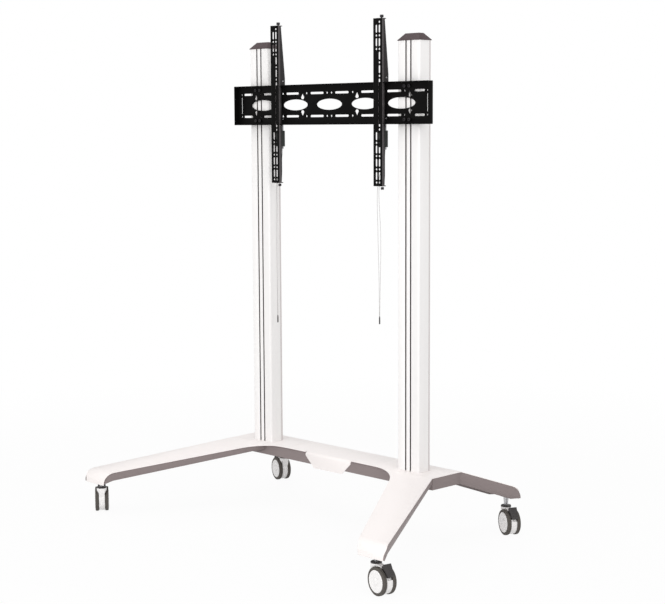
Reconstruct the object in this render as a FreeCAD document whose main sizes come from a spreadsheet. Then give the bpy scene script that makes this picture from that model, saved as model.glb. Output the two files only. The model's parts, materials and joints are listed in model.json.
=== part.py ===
import FreeCAD, Part
import math
import os
import Sketcher

# Mobile stand for a large flat screen, in millimetres, +Z up and the screen side towards -Y.
# The origin lies on the floor, under the middle of the stand's own box.
# Every piece is drawn about the plane through the columns' middle, and is placed
# column_set_back behind the origin.

SIZES = {
    # columns: where they stand and their extruded section
    "column_set_back": 150.0,
    "column_spacing": 815.0,
    "column_top": 1893.0,
    "column_width": 108.0,
    "column_front": 34.0,
    "column_back": 34.0,
    "column_seam": 22.0,
    "column_wall": 2.5,
    "column_corner": 7.0,
    "duct_depth": 9.5,
    "slot_pitch": 24.0,
    "slot_mouth": 6.5,
    "slot_channel": 14.0,
    "slot_depth": 8.0,
    "clip_sheet": 2.0,
    "clip_depth": 8.0,
    "clip_clearance": 0.3,
    "cable_slot_width": 60.0,
    "cable_slot_height": 20.0,
    "cable_slot_rise": 80.0,
    "cable_slot_drop": 320.0,
    # end caps
    "cap_overhang": 1.5,
    "cap_band": 1.5,
    "cap_height": 27.0,
    "cap_slope": 22.0,
    "cap_tongue": 20.0,
    # base: top covers
    "base_top": 265.0,
    "cover_sheet": 2.5,
    "cover_lip": 3.0,
    "cover_front": 60.0,
    "cover_back": 98.0,
    "waist_front_half": 553.0,
    "waist_back_half": 561.0,
    "waist_round": 40.0,
    "seam_half": 242.0,
    "seam_gap": 0.8,
    "flap_top_half": 126.0,
    "flap_bottom_half": 78.0,
    "flap_straight": 13.0,
    "flap_drop": 61.5,
    "flap_relief": 2.0,
    "flap_gap": 0.5,
    # base: underframe
    "frame_sheet": 4.0,
    "beam_depth": 45.5,
    "beam_round": 10.0,
    "leg_lip": 5.0,
    # front legs, outline of the cover above them
    "front_root_inner": 362.5,
    "front_tip_inner": 713.0,
    "front_tip_outer": 842.0,
    "front_reach": 640.0,
    "front_bend": 66.0,
    "front_tip_top": 174.4,
    "front_tip_bottom": 127.0,
    "front_nose": 48.0,
    "front_web": 200.0,
    "front_wall_root": 22.0,
    "front_wall_set_back": 38.0,
    "front_wall_bottom": 144.0,
    "nose_reveal": 2.0,
    "tip_round": 12.0,
    # rear legs, outline of the cover above them
    "rear_root_inner": 400.0,
    "rear_tip_inner": 572.0,
    "rear_tip_outer": 685.0,
    "rear_reach": 320.0,
    "rear_tip_top": 179.5,
    "rear_tip_bottom": 137.0,
    "rear_nose": 54.0,
    "rear_web": 60.0,
    "rear_wall_set_back": 39.0,
    "rear_wall_bottom": 141.0,
    # column feet and the bolts of the base
    "foot_sheet": 8.0,
    "foot_half": 70.0,
    "foot_front": 45.0,
    "foot_back": 60.0,
    "foot_rise": 60.0,
    "foot_clearance": 0.3,
    "bolt_radius": 4.0,
    "bolt_clearance": 0.1,
    "bolt_head_radius": 6.5,
    "bolt_head": 5.0,
    "bolt_edge": 12.0,
    "leg_bolt_edge": 40.0,
    "leg_bolt_past": 4.0,
    "leg_bolt_drop": 13.0,
    # wall plate
    "plate_centre": 1663.5,
    "plate_width": 1060.0,
    "plate_height": 158.4,
    "plate_sheet": 3.0,
    "plate_back": 37.0,
    "plate_depth": 25.0,
    "plate_corner": 3.0,
    "oval_width": 138.0,
    "oval_height": 43.0,
    "oval_pitch": 189.0,
    "row_height": 45.0,
    "row_slot": 8.5,
    "row_slot_a": 31.0,
    "row_slot_a_end": 105.0,
    "row_slot_b": 170.0,
    "row_slot_b_end": 242.0,
    "row_slot_c": 305.0,
    "row_slot_c_end": 377.0,
    "row_slot_d": 441.0,
    "row_slot_d_end": 493.0,
    "dot_a": 12.0,
    "dot_b": 126.0,
    "dot_c": 261.0,
    "dot_d": 286.0,
    "dot_e": 393.0,
    "end_slot_place": 506.0,
    "end_slot_height": 68.0,
    "end_slot_width": 5.0,
    "end_dot_radius": 3.0,
    "drop_a": 149.0,
    "drop_b": 420.0,
    "drop_low": 22.0,
    "drop_high": 46.0,
    "drop_shoulder": 28.0,
    "drop_half": 10.0,
    "drop_foot_half": 6.0,
    # brackets, bolts and nuts that clamp the plate to the columns
    "bracket_width": 112.0,
    "bracket_inset": 3.0,
    "bracket_below": 10.0,
    "bracket_clearance": 0.2,
    "clamp_height": 62.0,
    "clamp_radius": 3.0,
    "clamp_clearance": 0.1,
    "clamp_head_radius": 6.5,
    "clamp_head": 6.0,
    "nut_width": 13.4,
    "nut_sheet": 6.0,
    "nut_height": 30.0,
    "nut_clearance": 0.4,
    # arms
    "arm_offset": 281.4,
    "arm_width": 45.7,
    "arm_sheet": 3.0,
    "arm_bottom": 1351.0,
    "arm_top": 1979.0,
    "arm_hole_place": 7.5,
    "arm_hole_second": 8.0,
    "arm_hole_radius": 4.25,
    "arm_hole_margin": 14.0,
    "arm_slot_height": 30.0,
    "flange_top": 11.5,
    "flange_foot": 9.0,
    "flange_low": 12.0,
    "flange_low_top": 1395.0,
    "hook_depth": 32.0,
    "hook_shoulder": 1770.0,
    "hook_finger": 20.0,
    "hook_clearance": 0.5,
    "top_tab": 22.0,
    "bottom_tab": 20.0,
    # latch and its housing, behind each arm
    "latch_box_bottom": 1498.0,
    "latch_box_top": 1561.0,
    "latch_box_left": 5.0,
    "latch_box_back": 29.8,
    "latch_left": 1.0,
    "latch_right": 14.0,
    "latch_front": 36.5,
    "latch_thick": 5.0,
    "latch_clearance": 0.2,
    "latch_bottom": 1489.0,
    "latch_overlap": 13.7,
    "latch_chamfer": 2.5,
    # levelling screws and lock screws of the arms
    "level_place": 6.0,
    "level_behind": 13.0,
    "level_radius": 3.0,
    "level_shank": 54.0,
    "level_head_radius": 7.0,
    "level_head": 10.0,
    "level_stand": 3.0,
    "lock_place": 11.0,
    "lock_behind": 10.0,
    "lock_radius": 2.5,
    "lock_shank": 20.0,
    "lock_head_radius": 6.0,
    "lock_head": 10.0,
    "lock_stand": 3.0,
    "screw_clearance": 0.05,
    "knob_chamfer": 1.0,
    # pull cords
    "cord_diameter": 1.8,
    "cord_tip_radius": 2.6,
    "cord_tip_length": 30.0,
    "cord_tip_chamfer": 1.0,
    "cord_hole_place": 9.8,
    "cord_hole_long": 19.0,
    "cord_hole_behind": 12.0,
    "cord_hole_radius": 7.0,
    # casters: where they swivel and which way they trail at rest
    "front_swivel_set_in": 72.0,
    "front_swivel_set_back": 34.0,
    "rear_swivel_set_in": 60.0,
    "rear_swivel_set_back": 24.0,
    "turn_front_right": -12.0,
    "turn_front_left": 143.0,
    "turn_rear_right": -28.0,
    "turn_rear_left": 160.0,
    # casters: stem, swivel cap and bush
    "caster_seat": 145.0,
    "stem_top_radius": 11.0,
    "stem_foot_radius": 7.5,
    "stem_thread_radius": 6.0,
    "stem_thread": 24.0,
    "stem_pin_radius": 5.5,
    "stem_pin_bottom": 86.0,
    "boss_radius": 22.0,
    "seat_radius": 14.0,
    "boss_pad": 4.0,
    "boss_pad_radius": 18.0,
    "swivel_cap_radius": 20.0,
    "swivel_cap_height": 5.0,
    "swivel_gap": 0.3,
    "swivel_chamfer": 1.5,
    "bush_sheet": 2.0,
    "bush_height": 19.0,
    "swivel_clearance": 0.05,
    # casters: housing and wheels
    "wheel_radius": 50.0,
    "wheel_trail": 34.0,
    "wheel_width": 15.0,
    "wheel_gap": 0.3,
    "wheel_clearance": 1.0,
    "hub_radius": 40.0,
    "hub_dish_radius": 33.0,
    "hub_dish": 1.5,
    "hub_bulge": 2.0,
    "hub_cap_radius": 12.0,
    "tyre_chamfer": 3.0,
    "axle_radius": 4.0,
    "axle_clearance": 0.05,
    "housing_radius": 47.0,
    "housing_half": 11.7,
    "collar_height": 9.0,
    "collar_top": 104.0,
    "bore_bottom": 84.0,
    "shoulder_reach": 46.0,
    "shoulder_height": 98.0,
    "throat_back": 8.0,
    "throat_height": 62.0,
    "nape_height": 88.0,
    "neck_foot_height": 76.0,
    # brake levers, drawn about the wheel's axis
    "lever_inner": 47.5,
    "lever_outer": 56.0,
    "lever_half": 11.4,
    "pedal_top_half": 16.0,
    "pedal_foot_half": 12.5,
    "lever_low_angle": 24.0,
    "lever_high_angle": 68.0,
    "lever_pivot_reach": 44.0,
    "lever_knuckle": 6.0,
    "lever_clearance": 0.3,
    "recess_floor": 40.5,
    "recess_low_angle": 14.0,
    "recess_high_angle": 70.0,
    # how far every cutting shape runs past what it cuts
    "cut_over": 5.0,
}

# Round holes in an arm's main row, counted, and which of them the second row also has
ARM_HOLES = 13
SECOND_ROW_HOLES = (0, 1, 2, 3, 10, 11)

# How near an edge must lie to a wanted place to be the one that is meant
NEAR = 0.001

# Share of an edge that a fillet may use up, where its other end is sharp or rounded too
LONE_FILLET_SHARE = 0.97
PAIRED_FILLET_SHARE = 0.48

doc = FreeCAD.newDocument("MobileStand")
sheet = doc.addObject("Spreadsheet::Sheet", "Sizes")
for line, (alias, number) in enumerate(SIZES.items(), start=1):
    sheet.set(f"A{line}", alias)
    sheet.set(f"B{line}", str(number))
    sheet.setAlias(f"B{line}", alias)
doc.recompute()


class Size:
    """A number together with the sheet expression that it comes from."""

    def __init__(self, number, text):
        self.number = number
        self.text = text

    def __add__(self, other):
        return Size(self.number + as_size(other).number, f"({self.text} + {as_size(other).text})")

    def __sub__(self, other):
        return Size(self.number - as_size(other).number, f"({self.text} - {as_size(other).text})")

    def __mul__(self, other):
        return Size(self.number * as_size(other).number, f"({self.text} * {as_size(other).text})")

    def __truediv__(self, other):
        return Size(self.number / as_size(other).number, f"({self.text} / {as_size(other).text})")

    def __neg__(self):
        return Size(-self.number, f"(0 - {self.text})")

    def __abs__(self):
        return Size(abs(self.number), f"abs({self.text})")

    def root(self):
        return Size(math.sqrt(self.number), f"sqrt({self.text})")


def least(one, other):
    """The smaller of two sizes."""
    return Size(min(one.number, other.number), f"min({one.text}; {other.text})")


def as_size(amount):
    """A Size as it is, or a plain number made into one."""
    if isinstance(amount, Size):
        return amount
    return Size(amount, f"({amount})")


def size(alias):
    """The named size of the sheet."""
    return Size(SIZES[alias], f"Sizes.{alias}")


ZERO = Size(0.0, "0")
OVER = size("cut_over")
column_half = size("column_spacing") / 2
plate_lip_front = size("plate_back") + size("plate_depth")
web_back = -plate_lip_front
base_top = size("base_top")
beam_top = base_top - size("cover_sheet")
beam_bottom = beam_top - size("beam_depth")
beam_front = size("cover_front") - size("cover_lip")
beam_back = size("cover_back") - size("cover_lip")
slot_back = size("column_front") - size("column_wall") - size("slot_depth")
cavity_front = slot_back - size("column_wall")
web_back_face = size("column_seam") - size("duct_depth")
front_swivel_half = size("front_tip_outer") - size("front_swivel_set_in")
front_swivel_reach = size("front_reach") - size("front_swivel_set_back")
rear_swivel_half = size("rear_tip_outer") - size("rear_swivel_set_in")
rear_swivel_reach = size("rear_reach") - size("rear_swivel_set_back")
cavity_back = web_back_face - size("column_wall")
cavity_half = size("column_width") / 2 - size("column_wall")

def fitted(radius, before, corner, after, share):
    """A fillet's radius, limited to what the shorter edge beside its corner can hold."""
    in_u, in_v = (end - start for start, end in zip(before, corner))
    out_u, out_v = (end - start for start, end in zip(corner, after))
    run_in = (in_u * in_u + in_v * in_v).root()
    run_out = (out_u * out_u + out_v * out_v).root()
    turned = abs(in_u * out_v - in_v * out_u)
    ahead = in_u * out_u + in_v * out_v
    return least(radius, least(run_in, run_out) * share * turned / (run_in * run_out - ahead))


front_nose = fitted(
    size("front_nose"),
    (-size("front_bend"), base_top),
    (-size("front_reach"), size("front_tip_top")),
    (-size("front_reach"), size("front_tip_bottom")),
    LONE_FILLET_SHARE,
)
rear_nose = fitted(
    size("rear_nose"),
    (size("cover_back"), base_top),
    (size("rear_reach"), size("rear_tip_top")),
    (size("rear_reach"), size("rear_tip_bottom")),
    LONE_FILLET_SHARE,
)

pieces = {}


def keep(name, thing, x=ZERO, z=ZERO, turn=0.0, y=ZERO):
    """Names a finished piece and places it in the stand."""
    thing.Label = name
    thing.Placement = FreeCAD.Placement(
        FreeCAD.Vector(0, 0, 0), FreeCAD.Rotation(FreeCAD.Vector(0, 0, 1), turn)
    )
    place(thing, x, y + size("column_set_back"), z)
    pieces[name] = thing


def place(thing, x, y, z):
    """Ties the place of an object to the sheet."""
    thing.setExpression("Placement.Base.x", x.text)
    thing.setExpression("Placement.Base.y", y.text)
    thing.setExpression("Placement.Base.z", z.text)


def new_body(name):
    return doc.addObject("PartDesign::Body", name)


def new_sketch(body, role, offset=ZERO):
    """A sketch on one of its body's own planes, moved along that plane's normal."""
    sketch = body.newObject("Sketcher::SketchObject", "Outline")
    plane = [feature for feature in body.Origin.OriginFeatures if feature.Role == role][0]
    sketch.AttachmentSupport = [(plane, "")]
    sketch.MapMode = "FlatFace"
    sketch.setExpression("AttachmentOffset.Base.z", offset.text)
    return sketch


def hold(sketch, kind, where, amount):
    """Adds a constraint whose value is an expression of the sheet."""
    index = sketch.addConstraint(Sketcher.Constraint(kind, *where, amount.number))
    sketch.setExpression(f"Constraints[{index}]", amount.text)


def hold_point(sketch, curve, point, u, v):
    hold(sketch, "DistanceX", (-1, 1, curve, point), u)
    hold(sketch, "DistanceY", (-1, 1, curve, point), v)


def draw_polygon(sketch, corners):
    """A closed outline of straight lines, every corner held to the sheet."""
    spots = [FreeCAD.Vector(as_size(u).number, as_size(v).number, 0) for u, v in corners]
    first = sketch.GeometryCount
    count = len(corners)
    for index, spot in enumerate(spots):
        sketch.addGeometry(Part.LineSegment(spot, spots[(index + 1) % count]))
    for index in range(count):
        follower = first + (index + 1) % count
        sketch.addConstraint(Sketcher.Constraint("Coincident", first + index, 2, follower, 1))
    for index, (u, v) in enumerate(corners):
        hold_point(sketch, first + index, 1, as_size(u), as_size(v))


def draw_rectangle(sketch, left, right, low, high):
    draw_polygon(sketch, [(left, low), (right, low), (right, high), (left, high)])


def draw_circle(sketch, u, v, radius):
    centre = FreeCAD.Vector(as_size(u).number, as_size(v).number, 0)
    index = sketch.addGeometry(Part.Circle(centre, FreeCAD.Vector(0, 0, 1), radius.number))
    hold_point(sketch, index, 3, as_size(u), as_size(v))
    hold(sketch, "Radius", (index,), radius)


def draw_slot(sketch, u, v, length, width, upright=False):
    """A round-ended slot centred on (u, v); length is its whole length."""
    reach = (length - width) / 2
    radius = width / 2
    if upright:
        ends = [(u, v - reach), (u, v + reach)]
        angle = math.pi
    else:
        ends = [(u - reach, v), (u + reach, v)]
        angle = math.pi / 2
    side = FreeCAD.Vector(math.cos(angle), math.sin(angle), 0) * radius.number
    middles = [FreeCAD.Vector(a.number, b.number, 0) for a, b in ends]
    first = sketch.GeometryCount
    for middle, start in zip(middles, (angle, angle + math.pi)):
        ring = Part.Circle(middle, FreeCAD.Vector(0, 0, 1), radius.number)
        sketch.addGeometry(Part.ArcOfCircle(ring, start, start + math.pi))
    sketch.addGeometry(Part.LineSegment(middles[0] + side, middles[1] + side))
    sketch.addGeometry(Part.LineSegment(middles[0] - side, middles[1] - side))
    joints = [(0, 1, 2, 1), (0, 2, 3, 1), (1, 1, 3, 2), (1, 2, 2, 2)]
    for curve, point, other, other_point in joints:
        tangent = (first + curve, point, first + other, other_point)
        sketch.addConstraint(Sketcher.Constraint("Tangent", *tangent))
    sketch.addConstraint(Sketcher.Constraint("Equal", first, first + 1))
    hold(sketch, "Radius", (first,), radius)
    for index, (a, b) in enumerate(ends):
        hold_point(sketch, first + index, 3, a, b)


def pad(body, sketch, length, both=False, back=False):
    """Raises a sketch into a solid, along its normal, against it, or both ways."""
    feature = body.newObject("PartDesign::Pad", "Pad")
    feature.Profile = sketch
    feature.setExpression("Length", length.text)
    if both:
        feature.SideType = "Symmetric"
    feature.Reversed = back
    return feature


def pocket(body, sketch, length, both=True, back=False):
    """Cuts a sketch out of its body and makes sure that something went."""
    doc.recompute()
    before = body.Shape.Volume
    feature = body.newObject("PartDesign::Pocket", "Pocket")
    feature.Profile = sketch
    feature.setExpression("Length", length.text)
    if both:
        feature.SideType = "Symmetric"
    feature.Reversed = back
    doc.recompute()
    if not body.Shape.Volume < before:
        raise RuntimeError(f"a pocket of {body.Label} cuts nothing")
    return feature


def edges_at(shape, x=None, y=None, z=None):
    """Names of the edges whose middle lies at the given places."""
    wanted = (x, y, z)
    names = []
    for index, edge in enumerate(shape.Edges, start=1):
        middle = edge.CenterOfMass
        misses = [abs(a - b.number) for a, b in zip(middle, wanted) if b is not None]
        if max(misses) < NEAR:
            names.append(f"Edge{index}")
    return names


def dress(body, kind, setting, amount, names):
    """Adds a fillet or a chamfer on named edges of a body."""
    if not names:
        raise RuntimeError(f"no edge to dress on {body.Label}")
    base = body.Tip
    feature = body.newObject(kind, "Dressed")
    feature.Base = (base, names)
    feature.setExpression(setting, amount.text)


def round_edges(body, radius, **spot):
    """Rounds the edges of a body that lie at the given places."""
    doc.recompute()
    dress(body, "PartDesign::Fillet", "Radius", radius, edges_at(body.Shape, **spot))


def bevel_edges(body, reach, **spot):
    """Chamfers the edges of a body that lie at the given places."""
    doc.recompute()
    dress(body, "PartDesign::Chamfer", "Size", reach, edges_at(body.Shape, **spot))


def bevel_rims(body, reach, rim_radius, **spot):
    """Chamfers the round edges of one radius that lie at the given places."""
    doc.recompute()
    names = [
        name
        for name in edges_at(body.Shape, **spot)
        if abs(body.Shape.getElement(name).Curve.Radius - rim_radius.number) < NEAR
    ]
    dress(body, "PartDesign::Chamfer", "Size", reach, names)


def plan_prism(name, corners, low, high):
    """A body that stands on a plan outline from one height to another."""
    body = new_body(name)
    sketch = new_sketch(body, "XY_Plane", low)
    draw_polygon(sketch, corners)
    pad(body, sketch, high - low)
    return body


def side_prism(name, corners, left, right):
    """A body that carries a side outline, drawn in Y and Z, across the stand."""
    body = new_body(name)
    sketch = new_sketch(body, "YZ_Plane", left)
    draw_polygon(sketch, corners)
    pad(body, sketch, right - left)
    return body


def new_box(low, high):
    thing = doc.addObject("Part::Box", "Block")
    for name, start, end in zip(("Length", "Width", "Height"), low, high):
        thing.setExpression(name, (end - start).text)
    place(thing, *low)
    return thing


def new_cylinder(start, radius, length, axis="up", sweep=None, first_angle=ZERO):
    """A round bar from its start; axis is up (+Z) or front (-Y)."""
    thing = doc.addObject("Part::Cylinder", "Bar")
    thing.setExpression("Radius", radius.text)
    thing.setExpression("Height", length.text)
    if sweep is not None:
        thing.setExpression("Angle", sweep.text)
    turned = FreeCAD.Rotation(FreeCAD.Vector(0, 0, 1), first_angle.number)
    if axis == "front":
        turned = FreeCAD.Rotation(FreeCAD.Vector(1, 0, 0), 90).multiply(turned)
    thing.Placement = FreeCAD.Placement(FreeCAD.Vector(0, 0, 0), turned)
    place(thing, *start)
    return thing


def new_cone(start, foot_radius, top_radius, height):
    """An upright round taper from its start."""
    thing = doc.addObject("Part::Cone", "Taper")
    thing.setExpression("Radius1", foot_radius.text)
    thing.setExpression("Radius2", top_radius.text)
    thing.setExpression("Height", height.text)
    place(thing, *start)
    return thing


def fuse(things):
    joined = doc.addObject("Part::MultiFuse", "Joined")
    joined.Shapes = things
    joined.Refine = True
    return joined


def group(things):
    """Separate solids kept together under one name."""
    together = doc.addObject("Part::Compound", "Group")
    together.Links = things
    return together


def cut(base, tools):
    """Takes the tools away from the base."""
    result = doc.addObject("Part::Cut", "Cut")
    result.Base = base
    result.Tool = tools[0] if len(tools) == 1 else fuse(tools)
    result.Refine = True
    return result


def common(one, other):
    result = doc.addObject("Part::Common", "Shared")
    result.Base = one
    result.Tool = other
    result.Refine = True
    return result


def keep_twin(name, thing):
    """Names the mirror image of a placed piece, for the other side of the stand."""
    twin = doc.addObject("Part::Mirroring", "Twin")
    twin.Source = thing
    twin.Normal = FreeCAD.Vector(1, 0, 0)
    twin.Label = name
    pieces[name] = twin


# Slope of the front and rear legs, as a fall for each millimetre outwards
front_fall = (base_top - size("front_tip_top")) / (size("front_reach") - size("front_bend"))
rear_fall = (base_top - size("rear_tip_top")) / (size("rear_reach") - size("cover_back"))


def front_under(reach):
    """Height of the underside of the cover above a front leg."""
    return beam_top - front_fall * (reach - size("front_bend"))


def rear_under(reach):
    """Height of the underside of the cover above a rear leg."""
    return beam_top - rear_fall * (reach - size("cover_back"))


def bolt_places():
    """Places of the four bolts of one column foot, from the column's middle."""
    side = size("foot_half") - size("bolt_edge")
    front = -size("foot_front") + size("bolt_edge")
    back = size("foot_back") - size("bolt_edge")
    return [(side, front), (-side, front), (side, back), (-side, back)]


def front_bolt_places():
    """Places along X of the bolts that hold a front leg."""
    inner = size("front_root_inner") + size("leg_bolt_edge")
    return [inner, size("waist_front_half") - size("leg_bolt_edge")]


def rear_bolt_places():
    """Places along X of the bolts that hold a rear leg."""
    inner = size("rear_root_inner") + size("leg_bolt_edge")
    return [inner, size("waist_back_half") - size("leg_bolt_edge")]


front_bolt_height = beam_top - size("leg_bolt_drop")
rear_bolt_height = (beam_top + beam_bottom) / 2


def through_bar(x, y_back, z, radius, length):
    return new_cylinder((x, y_back, z), radius, length, axis="front")


# Base


def make_cross_beam():
    """The folded channel across the stand, open below."""
    lip = size("cover_lip")
    front_half = size("waist_front_half") - lip
    back_half = size("waist_back_half") - lip
    sheet = size("frame_sheet")
    outer = plan_prism(
        "BeamOuter",
        [
            (-front_half, -beam_front),
            (front_half, -beam_front),
            (back_half, beam_back),
            (-back_half, beam_back),
        ],
        beam_bottom,
        beam_top,
    )
    round_edges(outer, size("beam_round"), y=-beam_front, z=beam_top)
    hollow = plan_prism(
        "BeamHollow",
        [
            (sheet - front_half, sheet - beam_front),
            (front_half - sheet, sheet - beam_front),
            (back_half - sheet, beam_back - sheet),
            (sheet - back_half, beam_back - sheet),
        ],
        beam_bottom - OVER,
        beam_top - sheet,
    )
    tools = [hollow]
    hole = size("bolt_radius") + size("bolt_clearance")
    for side in (1, -1):
        middle = column_half * side
        tools.append(foot_block(middle, size("foot_clearance"), beam_bottom, base_top))
        for x, y in bolt_places():
            tools.append(new_cylinder((middle + x, y, beam_bottom), hole, size("beam_depth") + OVER))
        for x in front_bolt_places():
            tools.append(through_bar(x * side, OVER - beam_front, front_bolt_height, hole, OVER * 2))
        for x in rear_bolt_places():
            tools.append(through_bar(x * side, beam_back + OVER, rear_bolt_height, hole, OVER * 2))
    keep("cross_beam", cut(outer, tools))


def foot_block(middle, clearance, low, high):
    """The upright of a column foot, or the opening for it, grown by a clearance."""
    half = cavity_half - size("foot_clearance") + clearance
    front = -cavity_front + size("foot_clearance") - clearance
    back = cavity_back - size("foot_clearance") + clearance
    return new_box((middle - half, front, low), (middle + half, back, high))


def make_column_feet():
    """The two feet: a plate under the beam's top and an upright inside the column."""
    feet = []
    top = beam_top - size("frame_sheet")
    low = top - size("foot_sheet")
    hole = size("bolt_radius") + size("bolt_clearance")
    for side in (1, -1):
        middle = column_half * side
        plate = new_box(
            (middle - size("foot_half"), -size("foot_front"), low),
            (middle + size("foot_half"), size("foot_back"), top),
        )
        upright = foot_block(middle, ZERO, low, base_top + size("foot_rise"))
        holes = [
            new_cylinder((middle + x, y, low - OVER), hole, size("foot_sheet") + OVER * 2)
            for x, y in bolt_places()
        ]
        feet.append(cut(fuse([plate, upright]), holes))
    keep("column_feet", group(feet))


def make_base_bolts():
    """Bolts up through the feet into the beam, and through the beam into the legs."""
    bolts = []
    radius = size("bolt_radius")
    head = size("bolt_head")
    wide = size("bolt_head_radius")
    foot_low = beam_top - size("frame_sheet") - size("foot_sheet")
    sheets = size("frame_sheet") * 2 + size("leg_bolt_past")
    for side in (1, -1):
        middle = column_half * side
        for x, y in bolt_places():
            shank = new_cylinder((middle + x, y, foot_low), radius, beam_top - foot_low)
            cap = new_cylinder((middle + x, y, foot_low - head), wide, head)
            bolts.append(fuse([shank, cap]))
        for x in front_bolt_places():
            inside = size("frame_sheet") - beam_front
            shank = through_bar(x * side, inside, front_bolt_height, radius, sheets)
            cap = through_bar(x * side, inside + head, front_bolt_height, wide, head)
            bolts.append(fuse([shank, cap]))
        for x in rear_bolt_places():
            inside = beam_back - size("frame_sheet")
            shank = through_bar(x * side, inside + sheets, rear_bolt_height, radius, sheets)
            cap = through_bar(x * side, inside, rear_bolt_height, wide, head)
            bolts.append(fuse([shank, cap]))
    keep("base_bolts", group(bolts))


def leg_solid(outer_plan, outer_side, inner_plan, inner_side, nose, corner, swivel, bolts):
    """A leg: an upside-down tray with a boss for its caster and a bolted root wall."""
    far = size("front_tip_outer") + OVER
    low = size("front_tip_bottom") - OVER
    high = base_top + OVER
    block = plan_prism("LegPlan", outer_plan, low, high)
    side = side_prism("LegSide", outer_side, size("seam_half"), far)
    round_edges(side, nose, **corner)
    outer = common(block, side)
    sheet = size("frame_sheet")
    room = plan_prism("LegRoom", inner_plan, low, high)
    room_side = side_prism("LegRoomSide", inner_side, size("seam_half"), far)
    seat = (*swivel, size("caster_seat"))
    boss = common(new_cylinder(seat, size("boss_radius"), base_top - low), outer)
    pad = common(new_cylinder(seat, size("boss_pad_radius"), size("boss_pad")), block)
    shell = cut(outer, [common(room, room_side)])
    below_seat = new_cylinder((*swivel, low), size("seat_radius"), size("caster_seat") - low)
    bore = new_cylinder(
        (*swivel, size("caster_seat") - OVER),
        size("stem_thread_radius"),
        size("stem_thread") + OVER + sheet / 2,
    )
    return cut(fuse([shell, boss, pad]), [below_seat, bore, *bolts])


def make_front_legs():
    lip = size("leg_lip")
    sheet = size("frame_sheet")
    tip = size("front_reach") - size("cover_sheet")
    root_inner = size("front_root_inner") + lip
    root_outer = size("waist_front_half") - lip
    tip_inner = size("front_tip_inner") + lip
    tip_outer = size("front_tip_outer") - lip
    outer_plan = [
        (root_inner, -beam_front),
        (tip_inner, -tip),
        (tip_outer, -tip),
        (root_outer, -beam_front),
    ]
    inner_plan = [
        (root_inner + sheet, -beam_front - sheet),
        (tip_inner + sheet, sheet - tip),
        (tip_outer - sheet, sheet - tip),
        (root_outer - sheet, -beam_front - sheet),
    ]
    tip_bottom = size("front_tip_bottom") + size("nose_reveal")
    outer_side = [
        (-beam_front, beam_top),
        (-size("front_bend"), beam_top),
        (-tip, front_under(tip)),
        (-tip, tip_bottom),
        (size("front_wall_set_back") - size("front_reach"), size("front_wall_bottom")),
        (-beam_front, beam_top - size("front_wall_root")),
    ]
    low = size("front_tip_bottom") - OVER
    room_tip = tip - sheet
    bent = front_nose + sheet
    inner_side = [
        (-beam_front + OVER, beam_top - sheet),
        (-size("front_bend"), beam_top - sheet),
        (-(room_tip - bent), front_under(room_tip - bent) - sheet),
        (-room_tip, front_under(room_tip) - bent),
        (-room_tip, low),
        (-beam_front + OVER, low),
    ]
    hole = size("bolt_radius") + size("bolt_clearance")
    bolts = [
        through_bar(x, OVER - beam_front, front_bolt_height, hole, OVER * 3)
        for x in front_bolt_places()
    ]
    leg = leg_solid(
        outer_plan,
        outer_side,
        inner_plan,
        inner_side,
        front_nose - size("cover_sheet"),
        {"y": -tip, "z": front_under(tip)},
        (front_swivel_half, -front_swivel_reach),
        bolts,
    )
    keep("front_leg_right", leg)
    keep_twin("front_leg_left", leg)


def make_rear_legs():
    lip = size("leg_lip")
    sheet = size("frame_sheet")
    tip = size("rear_reach") - size("cover_sheet")
    root_inner = size("rear_root_inner") + lip
    root_outer = size("waist_back_half") - lip
    tip_inner = size("rear_tip_inner") + lip
    tip_outer = size("rear_tip_outer") - lip
    outer_plan = [
        (root_inner, beam_back),
        (root_outer, beam_back),
        (tip_outer, tip),
        (tip_inner, tip),
    ]
    inner_plan = [
        (root_inner + sheet, beam_back + sheet),
        (root_outer - sheet, beam_back + sheet),
        (tip_outer - sheet, tip - sheet),
        (tip_inner + sheet, tip - sheet),
    ]
    outer_side = [
        (beam_back, beam_top),
        (size("cover_back"), beam_top),
        (tip, rear_under(tip)),
        (tip, size("rear_wall_bottom")),
        (size("rear_reach") - size("rear_wall_set_back"), size("rear_wall_bottom")),
        (beam_back, beam_bottom),
    ]
    low = size("front_tip_bottom") - OVER
    room_tip = tip - sheet
    bent = rear_nose / 2
    inner_side = [
        (beam_back - OVER, beam_top - sheet),
        (size("cover_back"), beam_top - sheet),
        (room_tip - bent, rear_under(room_tip - bent) - sheet * 2),
        (room_tip, rear_under(room_tip) - bent),
        (room_tip, low),
        (beam_back - OVER, low),
    ]
    hole = size("bolt_radius") + size("bolt_clearance")
    bolts = [
        through_bar(x, beam_back + OVER * 2, rear_bolt_height, hole, OVER * 3)
        for x in rear_bolt_places()
    ]
    leg = leg_solid(
        outer_plan,
        outer_side,
        inner_plan,
        inner_side,
        rear_nose - size("cover_sheet"),
        {"y": tip, "z": rear_under(tip)},
        (rear_swivel_half, rear_swivel_reach),
        bolts,
    )
    keep("rear_leg_right", leg)
    keep_twin("rear_leg_left", leg)


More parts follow.
